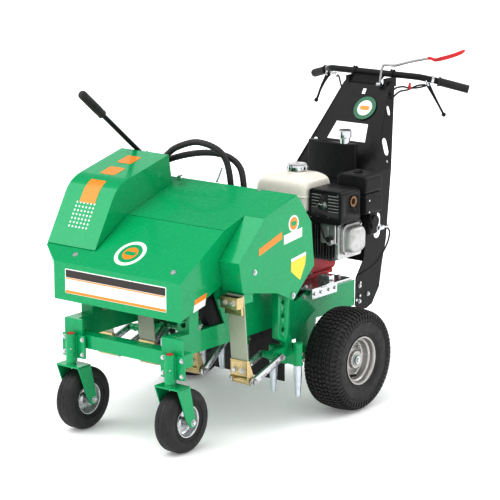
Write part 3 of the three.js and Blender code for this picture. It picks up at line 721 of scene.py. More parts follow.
def caster(side, s):
    cx = s * CASTER_X
    ay, az = CASTER_AXLE
    half = [(52.4, 27.4), (56, 28), (61, 30), (68, 34.4), (77, 37.8), (87, 38.9), (96, 37.6), (103, 34.4),
            (109, 29), (112.6, 23), (113.6, 18.4), (112.6, 17.2), (113.9, 15.6), (114, 10), (112.4, 8.4),
            (112.4, 7.2), (113.9, 5.6), (114, 0)]
    b = Build()
    b.lathe("x", (cx, ay, az), half + [(r, -x) for r, x in reversed(half[:-1])], 96)
    for k in (1, -1):
        b.lathe("x", (cx, ay, az), [(70, k * 38.2), (71.4, k * 40.2), (73, k * 39.4)], 72)
    b.piece(f"ribbed_tyre_{side}", TYRE, f"caster_tyre_{side}", smooth=30)
    b = Build()
    shell = [(51.6, 27.3), (56.6, 28.4), (58, 30), (57, 31.6), (53.6, 31.2), (50.6, 27), (49.4, 18), (47, 9),
             (42, 5.4), (26, 5.2), (20, 7.6), (16.4, 12), (15.4, 43.4), (9.2, 43.4)]
    b.lathe("x", (cx, ay, az), mirrored(shell), 72)
    for k in (1, -1):
        for y, z in circle(ay, az, 34, 4, 0.5):
            b.hexbolt((cx + k * 5.2, y, z), (k, 0, 0), 4.6, 4, 1.3)
    b.piece(f"caster_wheel_disc_{side}", ZINC, f"caster_rim_{side}", slot="rim_paint", smooth=30)

    front, back = STEM_Y - 23, STEM_Y + 45
    b = Build()
    plate = fillet([(cx - FORK_HALF, front), (cx + FORK_HALF, front), (cx + FORK_HALF, back),
                    (cx - FORK_HALF, back)], 7)
    b.prism("z", plate, *FORK_TOP, 1.2)
    leg = fillet([(front + 0.5, 247), (back - 0.5, 247), (ay + 13, 126), (ay + 12, 97), (ay - 12, 97),
                  (ay - 36, 130)],
                 [3, 3, 12, 11, 11, 26], 7)
    for k in (1, -1):
        a = cx + k * (FORK_HALF - 5)
        b.prism("x", leg, min(a, a + 5 * k), max(a, a + 5 * k), 1.1)
        b.sweep([(a - k * 0.6, front + 5, 242.4), (a - k * 0.6, (front + back) / 2, 241.8),
                 (a - k * 0.6, back - 5, 242.4)],
                3.2, 10)
        b.rod("x", ay, az, 13, min(a, a - 3 * k), max(a, a - 3 * k))
    b.rod("z", cx, STEM_Y, 17, 248, 257, 36)
    b.sweep(loop("z", 249.6, cx, STEM_Y, 18, 24), 2.2, 8)
    b.piece(f"fork_{side}", GREEN, f"caster_fork_{side}")
    b = Build()
    b.rod("x", ay, az, 8, cx - FORK_HALF - 7.6, cx + FORK_HALF + 7.6, 24)
    for k in (1, -1):
        b.disc((cx + k * FORK_HALF, ay, az), (k, 0, 0), 12.4, 1.6)
        b.disc((cx + k * (FORK_HALF + 1.6), ay, az), (k, 0, 0), 9.6, 5.4, 6, 0.9)
    b.rod("z", cx, STEM_Y, 11.5, 257, 349.5, 32)
    b.piece(f"caster_axle_{side}", ZINC, body=f"caster_swivel_{side}")

    b = Build()
    plate = fillet([(cx - 53, 272), (cx + 53, 272), (cx + 53, 356), (cx - 53, 356)], 5)
    b.prism("y", plate, -830.2, -822.3, 1.2)
    b.lathe("z", (cx, STEM_Y, 0), [(13.6, 258.4), (18.4, 258.4), (19, 259.2), (19, 361.2), (18.4, 362),
                                   (13.6, 362)], 48)
    for k in (1, -1):
        b.sweep([(cx + k * 15.6, -832.2, 262), (cx + k * 15.6, -832.2, 312), (cx + k * 15.6, -832.2, 354)],
                3.4, 10)
    b.piece(f"caster_bracket_{side}", GREEN, f"caster_mount_{side}")
    b = Build()
    for k in (1, -1):
        for z in (287, 342):
            b.hexbolt((cx + k * 42, -830.4, z), (0, -1, 0), 6, 4.6, 1.45)
    b.disc((cx + 12.5, STEM_Y - 14.3, 311), (0.66, -0.75, 0), 3.4, 4.4, 6, 0.5)
    b.ball((cx + 16.4, STEM_Y - 18.6, 311), 2.5, 12)
    b.piece(f"caster_bolts_{side}", ZINC)
    b = Build()
    b.lathe("z", (cx, STEM_Y, 0), [(5, STEM_TOP), (13.2, STEM_TOP), (13.2, 364), (5, 364)], 36)
    b.ball((cx, STEM_Y, STEM_TOP), 9, 16, (1, 1, 0.35))
    b.piece(f"stem_seal_{side}", RED_GRIP, body=f"caster_swivel_{side}")


# ---------------------------------------------------------------- the frame and its sheet metal
RISER_HOLE = (189, 436)                   # X and Z of the hole in the front of the left riser
SIDE_PLATE_X = 218.4                      # outer faces of the plates that carry bolts
TAIL_PLATE_X = 188.8


def chassis():
    hole = Build()
    hole.rod("y", *RISER_HOLE, 12, -735, -700, 36, 0)
    refined("chassis_frame", GREEN, 1.6, 2, cutters=[hole])
    b = Build()
    for _, s in SIDES:
        for y, z in ((-402, 470), (-210, 520), (-238, 640), (-60, 412), (110, 412)):
            b.hexbolt((s * SIDE_PLATE_X, y, z), (s, 0, 0), 5.6, 4.4, 1.5)
        for y, z in ((338, 311), (338, 372), (395, 330)):
            b.hexbolt((s * TAIL_PLATE_X, y, z), (s, 0, 0), 6.0, 4.6, 1.5)
    b.piece("frame_bolts", ZINC)


HOOD_SIDE = 229                           # X of the hood's left face
HOOD_FRONT = -783
CREASE_Z = 597
SLOPE_TOP = (-543, 744)
DRIVE_SIDE = 320                          # X of the drive cover's outer face
EMBLEM = (-70, 98)                        # X and the way up the sloping panel
EMBLEM_SIDE = (-262, 735)                 # Y and Z on the drive cover
ACROSS, BACK, UP = Vector((1, 0, 0)), Vector((0, 1, 0)), Vector((0, 0, 1))


def slope_point(x, up, off=0.0):
    """a point on the hood's sloping panel, up it from the crease, and off it along its normal"""
    run = Vector((0, SLOPE_TOP[0] - HOOD_FRONT, SLOPE_TOP[1] - CREASE_Z)).normalized()
    out = Vector((0, -run.z, run.y))
    return Vector((x, HOOD_FRONT, CREASE_Z)) + run * up + out * off, run, out


def covers():
    refined("front_hood", GREEN, 1.3)
    refined("top_cover", GREEN, 1.0)
    refined("left_drive_cover", GREEN, 1.3)
    refined("right_side_cover", GREEN, 1.0)
    refined("control_housing", GREEN, 1.2, 3)
    b = Build()
    for x in (-292, 164):
        p, _, out = slope_point(x, 47, 0.2)
        b.hexbolt(p, out, 6.4, 5, 1.7)
    b.hexbolt((DRIVE_SIDE + 0.2, -487, 597), (1, 0, 0), 6.4, 5, 1.7)
    b.disc((DRIVE_SIDE + 0.2, -265, 471), (1, 0, 0), 11, 4, 32)
    b.disc((DRIVE_SIDE + 4, -265, 471), (1, 0, 0), 6.5, 4, 6)
    b.hexbolt((159, -252, 834.4), (0, -0.29, 0.957), 5.4, 4, 1.6)
    b.piece("cover_bolts", ZINC)


def housing_marks():
    """rows of small pale dots on the housing's slanted front, and three plain blocks above them"""
    low, high = Vector((0, -717, 641.4)), Vector((0, -620, 808))
    rise = (high - low).normalized()
    out = Vector((0, -rise.z, rise.y))
    b = Build()
    for row in range(7):
        for column in range(6):
            at = low + rise * (74 + 15.5 * row) + ACROSS * (-379 + 16.6 * column) + out * 0.2
            b.plate(circle(0, 0, 4, 12), at, ACROSS, rise, 0.5)
    b.piece("housing_dots", WHITE, smooth=20)
    b = Build()
    middle = Vector((-530, 770))
    crown_line = [Vector(p) for p in ((-566, 860.5), (-583, 851), (-604, 832), (-620, 808), (-632, 787.4))]
    shell = [[tuple(p + (p - middle).normalized() * d) for p in crown_line] for d in (1.0, -1.0)]
    b.prism("x", shell[0] + shell[1][::-1], -370, -296, 0.2)
    for x, y, z, dy, dz, wide, tall in ((-335, -490, 883.5, 0.97, 0.245, 36, 33),
                                        (-341, -390, 908.9, 0.97, 0.245, 34, 33)):
        along = Vector((0, dy, dz)).normalized()
        normal = Vector((0, -along.z, along.y))
        b.plate(rounded(-wide, wide, -tall, tall, 9), Vector((x, y, z)) + normal * 0.3, ACROSS, along, 0.6)
    b.piece("housing_blocks", ORANGE, smooth=20)


def labels():
    """plain labels: blocks of colour with no lettering"""
    run = slope_point(0, 0)[1]
    front = Vector((0, HOOD_FRONT, 0))
    side = Vector((HOOD_SIDE, 0, 0))
    drive = Vector((DRIVE_SIDE + 0.05, 0, 0))

    def on_front(b, points, lift, thick=0.3):
        b.plate(points, front - BACK * lift, ACROSS, UP, thick)

    def on_slope(b, points, lift, thick=0.3):
        b.plate(points, slope_point(*EMBLEM, lift)[0], ACROSS, run, thick)

    def on_side(b, points, face, lift, thick=0.3):
        b.plate(points, face + ACROSS * lift, BACK, UP, thick)

    b = Build()
    on_front(b, rounded(-307, 165, 487, 577, 4), 0, 0.5)
    on_slope(b, circle(0, 0, 62, 72), 0, 0.5)
    on_side(b, [(-716, 482), (-651, 497), (-642, 541), (-707, 526)], side, 0.05, 0.5)
    on_side(b, circle(*EMBLEM_SIDE, 30, 56), drive, 0, 0.5)
    b.piece("white_labels", WHITE, smooth=20)
    b = Build()
    on_front(b, rounded(-303, 161, 546, 573, 2), 0.5)
    b.piece("dark_label_bands", DARK, smooth=20)
    b = Build()
    on_front(b, [(-303, 540), (161, 540), (161, 544), (-303, 544)], 0.5)
    on_front(b, [(-305, 488.5), (163, 488.5), (163, 498), (-305, 498)], 0.5)
    on_slope(b, circle(0, 0, 31, 64), 0.8)
    on_side(b, [(-711, 508), (-646, 522), (-642, 541), (-707, 526)], side, 0.5)
    on_side(b, circle(*EMBLEM_SIDE, 23, 48), drive, 0.5)
    b.piece("orange_labels", ORANGE, smooth=20)
    b = Build()
    on_slope(b, circle(0, 0, 47, 64), 0.5)
    on_slope(b, rounded(-24, 24, -9, 9, 8), 1.1)
    on_side(b, rounded(-277, -247, 727, 743, 5), drive, 0.8)
    b.piece("green_label_bars", GREEN, smooth=20)


# ---------------------------------------------------------------- tine mechanism
def joint_at(name):
    row = next(j for j in frame["record"]["behaviour"]["joints"] if j["name"] == name)
    return (Vector(row["pos_m"]) - Vector((0, AXLE_Y, 0))) / MM


UNITS = range(1, 5)
PINS = {i: joint_at(f"tine_arm_{i}_pin") for i in UNITS}
PIVOT = joint_at("links_1_swing").yz
EYE_LOW = Vector((-341, 259))             # rear eye of the links of the arms that stand lowest
LINK_LENGTH = (EYE_LOW - PIVOT).length
ROD_LENGTH = (EYE_LOW - PINS[1].yz).length
TINE_DX = 55.5
TINE_Y = -257


def eye_of(pin):
    """where the links hold the lower end of an arm whose upper end is on its crank pin"""
    way = pin - PIVOT
    x = (LINK_LENGTH ** 2 - ROD_LENGTH ** 2 + way.length_squared) / (2 * way.length)
    h = math.sqrt(LINK_LENGTH ** 2 - x * x)
    u = way.normalized()
    return PIVOT + u * x + Vector((u.y, -u.x)) * h


def lean_of(i):
    """the matrix that brings an arm drawn on the first pin to its own pin"""
    low, pin = PINS[1].yz, PINS[i].yz
    way, was = eye_of(pin) - pin, EYE_LOW - low
    turn = math.atan2(way.y, way.x) - math.atan2(was.y, was.x)
    return (Matrix.Translation((0, pin.x, pin.y)) @ Matrix.Rotation(turn, 4, "X")
            @ Matrix.Translation((0, -low.x, -low.y)))


def hanger(i):
    x = PINS[i].x
    b = Build()
    b.prism("x", [(-525.8, 258), (-519.8, 258), (-546, 526), (-552, 526)], x - 37, x + 37, 1.2)
    b.piece(f"leaf_spring_{i}", SPRING, f"spring_hanger_{i}")
    b = Build()
    b.prism("x", [(-533, 284), (-528, 284), (-526.5, 262), (-514, 226), (-528, 226), (-531, 226)], x - 37.5,
            x + 37.5, 1)
    for k in (-1, 1):
        cheek = [(-533, 284), (-519, 284), (-500, 240), (-490, 206), (-505, 191), (-519, 203), (-531, 226)]
        b.prism("x", fillet(cheek, 5, 3), x + k * 35.2 - 2.2, x + k * 35.2 + 2.2, 0.8)
    b.lathe("x", (x, PIVOT.x, PIVOT.y), [(9.2, -37.4), (14.4, -37.4), (15, -36.8), (15, 36.8), (14.4, 37.4),
                                         (9.2, 37.4)], 48)
    b.box(x - 37, x + 37, -588, -583.5, 480, 522, 1.2)
    for k in (-1, 1):
        b.box(x + k * 34.7 - 2.3, x + k * 34.7 + 2.3, -586, -550, 480, 522, 1)
    b.box(x - 37, x + 37, -563, -551, 455, 483, 1.4)
    b.box(x - 34, x + 34, -585, -548, 480, 484, 0.8)
    b.piece(f"hanger_plates_{i}", GOLD)
    b = Build()
    for k in (-1, 1):
        b.hexbolt((x + k * 18, -588, 501), (0, -1, 0), 9, 7.5, 1.25, 0.2 * k)
        b.hexbolt((x + k * 17, -531.6, 247), (0, -1, -0.04), 8.2, 7, 1.25, 0.3 * k)
    b.disc((x - 30, -528, 218), (-0.2, -1, -0.2), 5.6, 7, 6, 0.6)
    b.disc((x + 37.4, -509, 268), (1, 0, 0), 4.5, 3, 6, 0.4)
    b.piece(f"hanger_bolts_{i}", ZINC)
    Build().box(x - 31, x + 31, -582, -552, 485, 520, 3).piece(f"hanger_block_{i}", PLASTIC)


def links(i):
    x = PINS[i].x
    eye = eye_of(PINS[i].yz)
    way = eye - PIVOT
    slant = math.degrees(math.atan2(way.y, way.x))
    outline = arc(*PIVOT, 15, slant + 62, slant + 298, 12) + arc(*eye, 13, slant - 78, slant + 78, 12)
    b = Build()
    for k in (-1, 1):
        a, c = sorted((x + k * 39, x + k * 50))
        b.prism("x", outline, a, c, 1.3, 2)
    bars = b.piece(f"link_bars_{i}", ZINC, f"link_pair_{i}", weighted=False)
    u = way.normalized()
    v = Vector((-u.y, u.x))
    def along_bar(near, far, low, high):
        """four corners on a bar, between two parts of its length and two offsets from its middle line"""
        return [tuple(PIVOT + u * (LINK_LENGTH * part) + v * offset)
                for part, offset in ((near, low), (far, low), (far, high), (near, high))]

    slot = Build().prism("x", fillet(along_bar(0.56, 0.84, -5, 5), 4.5, 4), x + 45, x + 60)
    groove = Build().prism("x", along_bar(0.2, 0.42, -6.5, -3), x + 46, x + 60)
    cut(bars, [slot, groove])
    b = Build()
    for at, r in ((PIVOT, 11), (eye, 9.6)):
        for k in (-1, 1):
            b.disc((x + k * 50, at.x, at.y), (k, 0, 0), r * 1.22, 1.5)
            b.disc((x + k * 51.3, at.x, at.y), (k, 0, 0), r, 5.6, 6, 0.9, 0.35)
    b.rod("x", PIVOT.x, PIVOT.y, 7.8, x - 49, x + 49, 24)
    b.rod("x", eye.x, eye.y, 5, x + 38, x + 49, 16)
    b.piece(f"link_pins_{i}", STEEL, body=f"links_{i}", slot="zinc_plate")


def tine_arm(i):
    x = PINS[i].x
    at = PINS[i]
    py, pz = PINS[1].yz
    ey, ez = EYE_LOW
    m = lean_of(i)
    body = f"tine_unit_{i}"
    b = Build()
    b.lathe("x", (x, at.y, at.z), [(15.4, -15), (29, -15), (30, -14), (30, 14), (29, 15), (15.4, 15)], 56)
    web = [(py - 22, pz - 20), (-321, 500), (-321, 318), (-276, 292), (-276, 214), (-238, 214), (-238, 300),
           (-254, 330), (-254, 500), (py + 22, pz - 20)]
    web = fillet(web, [4, 30, 16, 10, 2, 2, 10, 14, 30, 4], 5)
    shank = Build().prism("x", web, x - 14.4, x + 14.4, 2.4, 3, m)
    shank = shank.piece(f"arm_shank_{i}", GREEN, body=body, weighted=False)
    cut(shank, [Build().rod("x", -293, z, 9.5, x - 20, x + 20, 32, 0, m) for z in (346, 398, 449)])
    b.box(x - TINE_DX, x + TINE_DX, -274, -240, 216, 268, 4, 3, m)
    for k in (-1, 1):
        top = 296 if k * x > 0 else 272
        cx = x + k * TINE_DX
        b.rod("z", cx, TINE_Y, 17.5, 214.2, top, 40, 1.6, m)
        b.box(cx - 4.4, cx + 4.4, TINE_Y + 12, TINE_Y + 24, 224, 266, 1.5, 2, m)
        b.rod("z", cx, TINE_Y, 18.4, 214.4, 220, 40, 1.0, m)
    lug_line = [(ey, ez - 13), (-272, ez - 20), (-272, ez + 22), (ey, ez + 13)]
    b.prism("x", lug_line, x - 14.6, x + 14.6, 1.8, 2, m)
    b.rod("x", ey, ez, 13, x - 36, x + 36, 36, 1.2, m)
    for k in (-1, 1):
        b.sweep([m @ Vector(p) for p in loop("x", x + k * 15, ey, ez, 14, 20)], 1.8, 8)
    b.piece(f"arm_{i}", GREEN, f"tine_arm_{i}")
    b = Build()
    for k in (-1, 1):
        cx = x + k * TINE_DX
        for r, z in ((6.6, 256), (5.6, 232)):
            at_bolt = m @ aim((cx + k * 16.6, TINE_Y + 4, z), (k, 0.1, 0))
            b.prism("z", circle(0, 0, r, 6), 0, 5, 0.6, 1, at_bolt)
        b.prism("z", circle(0, 0, 4, 16), 0, 9, 0.5, 1, m @ aim((cx, TINE_Y + 23, 245), (0, 1, 0)))
    b.piece(f"arm_bolts_{i}", ZINC, body=body)
    for k, n in ((1, 2 * i - 1), (-1, 2 * i)):
        b = Build()
        outer = [(6.6, 98.2), (9.3, 98.2), (9.9, 102), (13.4, 150), (14.6, 172), (15, 178), (15, 213.4)]
        inner = [(8.4, 213.4), (8.4, 160), (7.2, 110)]
        b.lathe("z", (x + k * TINE_DX, TINE_Y, 0), outer + inner, 40)
        b.bm.transform(m)
        tine = b.piece(f"hollow_tine_{n}", TINE, f"tine_{n}", weighted=False)
        window = Build().prism("y", rounded(x + k * TINE_DX - 5.4, x + k * TINE_DX + 5.4, 124, 196, 5),
                               TINE_Y, TINE_Y + 20, 0, 2, m)
        cut(tine, [window])


def mechanism():
    for i in UNITS:
        hanger(i)
        links(i)
        tine_arm(i)
    refined("crankshaft", STEEL, 1.0)
    refined("rear_flap", RUBBER, 1.2)
    b = Build()
    for k in range(-2, 3):
        b.hexbolt((70 * k, -105.2, 378), (0, 1, 0), 5.6, 4, 1.8)
    for k in (-1, 1):
        b.disc((k * 421, 0, WHEEL_Z), (k, 0, 0), 15.6, 3, 32, 1)
        b.disc((k * 423.5, 0, WHEEL_Z), (k, 0, 0), 9, 5, 6, 0.9)
    b.piece("flap_bolts", ZINC)
    # black plates on the left: a dark rubber flap, and a plate of painted shade
    b = Build()
    # a dark rubber flap leaning beside the left side tube
    b.prism("x", fillet([(-597, 407.6), (-668, 522), (-606, 548), (-545, 520), (-500, 407.6)], 5, 3), 172,
            205, 1.5)
    # painted shade: a black plate inside, between the leaf springs and the arms, where there is only shade
    # under the drive cover
    b.prism("x", fillet([(-420, 407.6), (-420, 470), (-280, 470), (-262, 407.6)], 6, 3), 172, 190, 1.5)
    b.piece("dark_flap_and_shade_plate", PLASTIC)
    b = Build()
    for x0, x1, z0 in ((-20, 60, 250), (70, 150, 262)):
        b.box(x0, x1, -123, -119, z0, 331, 1)
    b.piece("small_flaps", RUBBER)


# ---------------------------------------------------------------- engine and pump
CRANK_AXIS = (40, 573)                    # X and Z
CASE_BOLTS = [(40 + 84 * u, 560 + 76 * v) for u, v in circle(0, 0, 1, 8)]
FUEL_CAP = (78, 82)                       # X and Y
OIL_CAP = (62, 410)
MUFFLER_PORT = (86, 761)                  # Y and Z
LOUVRE_TOP, LOUVRE_STEP = 788, 11.6


def engine():
    b = Build()
    b.box(-95, 140, 10, 228, 440.4, 456, 3)
    b.prism("y", rounded(-85, 160, 455, 650, 30, 8), 24, 222, 6, 3)
    b.rod("y", *CRANK_AXIS, 60, 9, 26, 64, 3)
    for x, z in CASE_BOLTS:
        b.rod("y", x, z, 8, 19, 30, 20, 1.5)
    for x in (-60, -20, 100):
        b.box(x, x + 6, 16, 26, 462, 640, 2)
    b.piece("crankcase", RED, "engine_crankcase")
    b = Build()
    for x, z in CASE_BOLTS:
        b.disc((x, 19, z), (0, -1, 0), 6, 5, 6, 0.6)
    b.rod("y", *CRANK_AXIS, 12.5, -44, 12, 36)
    b.disc((150, 60, 466), (1, -0.2, 0), 9, 12, 6, 0.8)
    for x, y in ((-80, 26), (125, 26), (-80, 212), (125, 212)):
        b.hexbolt((x, y, 456), (0, 0, 1), 6, 5, 1.6)
    b.piece("crankcase_bolts", ZINC)

    b = Build()
    for k in range(9):
        x = 167.6 + 13 * k
        inset = 0 if k % 2 else 3
        b.prism("x", rounded(34.5 + inset, 195.5 - inset, 530.5 + inset, 673.5, 12, 4), x, x + 3.4, 0.9, 1)
    b.box(160.4, 282, 54, 176, 546, 659, 6)
    b.piece("cylinder_fins", FINS, "engine_cylinder")
    b = Build()
    b.prism("x", rounded(40.5, 189.5, 540.5, 673.5, 10, 5), 283, 299, 2.5)
    b.box(226, 294, 29, 36, 602, 676, 5, 3)
    b.box(232, 262, 27, 31, 615, 668, 4)
    for y, z in ((48, 552), (48, 662), (182, 552), (182, 662), (48, 607)):
        b.disc((284, y, z), (1, 0, 0), 9, 14, 24, 1)
    b.rod("y", 276, 610, 12, 14, 36, 28, 2)
    b.piece("cylinder_head", ALLOY)
    b = Build()
    b.rod("y", 274, 622, 10, 8, 30, 24, 2)
    b.rod("y", 274, 622, 5, 2, 10, 16, 1)
    b.sweep(smooth_path([(274, 4, 622), (262, 2, 634), (246, 8, 660), (238, 14, 676)], 5), 3.2, 10)
    b.piece("spark_plug_cap", PLASTIC)

    b = Build()
    b.prism("x", rounded(56, 172, 556, 672, 26, 8), 299.6, 312, 2.5, 3)
    dome = [(299.8, 0.0), (318, 0.2), (334, 3), (342, 10), (345, 22)]
    b.loft([[(x, u, v) for u, v in rounded(64 + inset, 164 - inset, 564 + inset, 664 - inset,
                                           max(6, 28 - inset * 0.7), 8)] for x, inset in dome])
    b.piece("rocker_cover", COVER_ALLOY, "valve_cover", smooth=50)
    b = Build()
    for r in (12, 20):
        b.sweep(loop("x", 344.2, 114, 614, r, 40), 1.3, 8)
    for y, z in ((66, 566), (66, 662), (162, 566), (162, 662)):
        b.hexbolt((312, y, z), (1, 0, 0), 5, 4, 1.5)
    b.piece("rocker_cover_bolts", ZINC, slot="alloy_cast")


def fuel_tank():
    rows = [(712, 10), (716, 4), (724, 0), (790, 0), (806, 4), (818, 12), (828, 25), (836, 44), (841, 62),
            (845, 78)]
    b = Build()
    outlines = []
    for z, inset in rows:
        left = 179.4 - inset * (0.35 if z < 830 else 0.55)
        outline = rounded(-65 + inset * 1.3, left, -2 + inset * 0.55, 175 - inset * 0.55,
                          max(8, 30 - inset * 0.2), 8)
        outlines.append([(u, v, z) for u, v in outline])
    b.loft(outlines)
    b.lathe("z", (*FUEL_CAP, 0), [(0, 838), (50, 838), (48, 846), (42, 848.6), (0, 848.8)], 48)
    seam = rounded(-66.4, 180.6, -3.4, 176.4, 31, 10)
    b.sweep([(u, v, 768) for u, v in seam + seam[:1]], 2.2, 8, False, 1.5)
    tank = b.piece("tank_shell", CREAM, "fuel_tank", smooth=60)
    tank.modifiers.new("round", "SUBSURF").levels = 1
    tank.modifiers["round"].render_levels = 1
    b = Build()
    for x, y in ((-50, 8), (168, 8), (168, 165)):
        b.hexbolt((x, y - 1, 716), (0, 0, -1), 5, 4, 1.4)
    b.piece("tank_bolts", ZINC)
    b = Build()
    skirt = [(30, 849.6), (35, 849.6), (35.4, 853), (39.6, 854), (40, 856), (40, 869), (38.6, 873),
             (33, 875.6), (12, 875.9), (10, 874.6), (0, 874.6), (0, 860), (30, 860)]
    b.lathe("z", (*FUEL_CAP, 0), skirt, 72)
    for x, y in circle(*FUEL_CAP, 38.4, 12):
        b.ball((x, y, 862), 3.4, 12, (1, 1, 2.4))
    b.piece("tank_cap", CHROME, "fuel_cap")


def muffler():
    b = Build()
    b.prism("y", rounded(186, 333, 680, 806, 14, 6), 10, 134, 4, 3)
    guard = b.piece("muffler_shell", BLACK, "muffler_guard", weighted=False)
    cuts = [Build().prism("y", rounded(190, 329, 684, 802, 11, 5), 12.5, 131)]
    for x0, x1, rows in ((196, 241, 5), (270, 321, 6)):
        for k in range(rows):
            z = LOUVRE_TOP - LOUVRE_STEP * k
            end = x1 - (4 * k if x0 < 200 else 0)
            cuts.append(Build().prism("y", rounded(x0, end, z - 4.2, z, 1.8, 3), 0, 20))
    cuts.append(Build().rod("x", *MUFFLER_PORT, 19, 325, 340, 32, 0))
    cut(guard, cuts)
    Build().prism("y", rounded(198, 321, 694, 792, 22, 6), 22, 122, 5, 3).piece("muffler_can", ALLOY)
    b = Build()
    for x0, x1, rows in ((197, 240, 5), (271, 320, 6)):
        for k in range(rows):
            z = LOUVRE_TOP - LOUVRE_STEP * k
            b.box(x0, x1 - (4 * k if x0 < 200 else 0), 12.6, 14, z - 4, z - 0.6, 0.3)
    b.piece("guard_louvres", HEAT_SILVER)
    b = Build()
    b.lathe("x", (0, *MUFFLER_PORT), [(11.5, 300), (16.4, 300), (16.4, 333), (20, 333.4), (20.4, 335),
                                      (15.6, 335.4), (11.5, 334)], 40)
    b.rod("x", *MUFFLER_PORT, 12, 318, 322, 32)
    b.piece("muffler_outlet", RUSTY)
    b = Build()
    b.hexbolt((255, 9.8, 748), (0, -1, 0), 7, 5, 1.9)
    for x, z in ((228, 705), (276, 704), (196, 698), (318, 790)):
        b.disc((x, 9.8, z), (0, -1, 0), 4, 2.4, 20, 0.6)
    b.sweep(smooth_path([(250, 8, 745), (236, 6.5, 752), (226, 7, 742)], 4), 2, 8)
    b.piece("muffler_bolts", ZINC)


def air_cleaner():
    b = Build()
    b.prism("y", rounded(212, 346, 700, 768, 10, 5), 151, 256, 4, 3)
    b.prism("y", rounded(212.5, 345.5, 772, 846, 20, 8), 150.4, 256.6, 7, 4)
    b.box(216, 342, 154, 253, 764, 776, 1.5)
    b.box(240, 330, 200, 252, 612, 702, 8, 3)
    b.rod("x", 226, 662, 24, 326, 338, 36, 3)
    b.sweep(loop("x", 336, 226, 662, 17, 32), 2.4, 10)
    b.sweep(smooth_path([(322, 206, 690), (334, 196, 676), (338, 204, 652), (326, 222, 632)], 5), 4.4, 12)
    b.piece("air_cleaner_case", PLASTIC, "air_cleaner")
    b = Build()
    b.lathe("z", (270, 205, 0), [(0, 845), (20, 845), (20, 848), (12, 851), (10, 855.6), (0, 855.6)], 36)
    b.box(252, 288, 202, 208, 847, 855.8, 1.6)
    b.piece("air_cleaner_knob", PLASTIC)
    b = Build()
    for z in (708, 752):
        b.disc((346, 170, z), (1, 0, 0), 4.4, 2.4, 6, 0.4)
    b.sweep([(318, 250, 640), (322, 272, 634), (322, 300, 628), (328, 322, 626)], 3.6, 12)
    b.box(316, 328, 268, 300, 620, 636, 2)
    b.disc((324, 322, 626), (0.3, 1, 0.1), 6.4, 12, 20, 0.8)
    b.sweep(smooth_path([(300, 214, 620), (318, 236, 612), (326, 262, 622), (322, 282, 640)], 5), 2.2, 8)
    b.piece("carburettor_linkage", ZINC)
    b = Build()
    b.sweep(smooth_path([(322, 318, 626), (322, 342, 600), (300, 350, 540), (262, 330, 470), (210, 300, 425)],
                        6), 3.2, 10)
    b.piece("throttle_cable", RUBBER)


def starter():
    b = Build()
    shell = [(0, 228.6), (128, 228.6), (131.6, 232), (132, 240), (131, 252), (126, 259), (116, 262),
             (84, 262), (80, 266), (79, 284), (74, 290), (0, 291.6)]
    x, z = CRANK_AXIS
    b.lathe("y", (x, 0, z), shell, 96)
    for k in range(18):
        a = TAU * k / 18
        m = Matrix.Translation((x, 0, z)) @ Matrix.Rotation(a, 4, "Y")
        b.box(88, 112, 259.5, 263.6, -3.2, 3.2, 1.2, 2, m)
    b.piece("starter_cover", BLACK, "recoil_housing")
    b = Build()
    for x, z in circle(*CRANK_AXIS, 119, 5, 0.25):
        b.hexbolt((x, 261, z), (0, 1, 0), 5, 4, 1.5)
    b.piece("starter_bolts", ZINC)


def pump():
    refined("hydraulic_pump", CAST_BLACK, 2.0, 3)
    b = Build()
    for x in (-46, 46):
        for z in (574, 636):
            b.hexbolt((x, -230.4, z), (0, -1, 0), 6, 5, 1.5)
    for x, y in ((-12, -200), (26, -170)):
        b.disc((x, y, 650.2), (0, 0, 1), 17, 9, 6, 1)
    b.piece("pump_bolts", ZINC)


def slide_base():
    notch = Build().box(230, 252, 112, 214, 390, 432.5, 0)
    refined("engine_slide_base", ZINC, 1.2, 2, cutters=[notch])
    b = Build()
    for x, y in ((-80, -30), (60, -30), (205, -30), (205, 110), (205, 178)):
        b.hexbolt((x, y, 440.2), (0, 0, 1), 7, 6, 1.6)
    for y in (-30, 10, 60, 98):
        b.disc((245.2, y, 420), (1, 0, 0), 6.4, 5, 6, 0.7)
    b.sweep([(196, 62, 470.5), (244, 62, 470.5)], 3, 10)
    b.sweep(smooth_path([(246, 76, 452), (256, 70, 450), (256, 30, 444), (250, 4, 441)], 4), 4, 10)
    b.piece("slide_bolts", ZINC)


# ---------------------------------------------------------------- upright, bar and levers
UPRIGHT_KNEE = (435, 800)                 # Y and Z
UPRIGHT_TOP = (641, 1105)
BADGE = (37, 577.4, 1018)
BAR = (690, 1143)                         # Y and Z of its straight middle
BAR_R = 12.5
BAR_PATH = [(0, *BAR), (120, *BAR), (185, *BAR), (214, 697, 1141), (240, 717, 1134), (262, 738, 1127),
            (300, 759.4, 1116), (372, 800, 1096)]
CLAMP_X = 89.5
DEPTH_PIVOT = (-395, -250, 902)
DEPTH_WAY = (0, -0.778, 0.628)


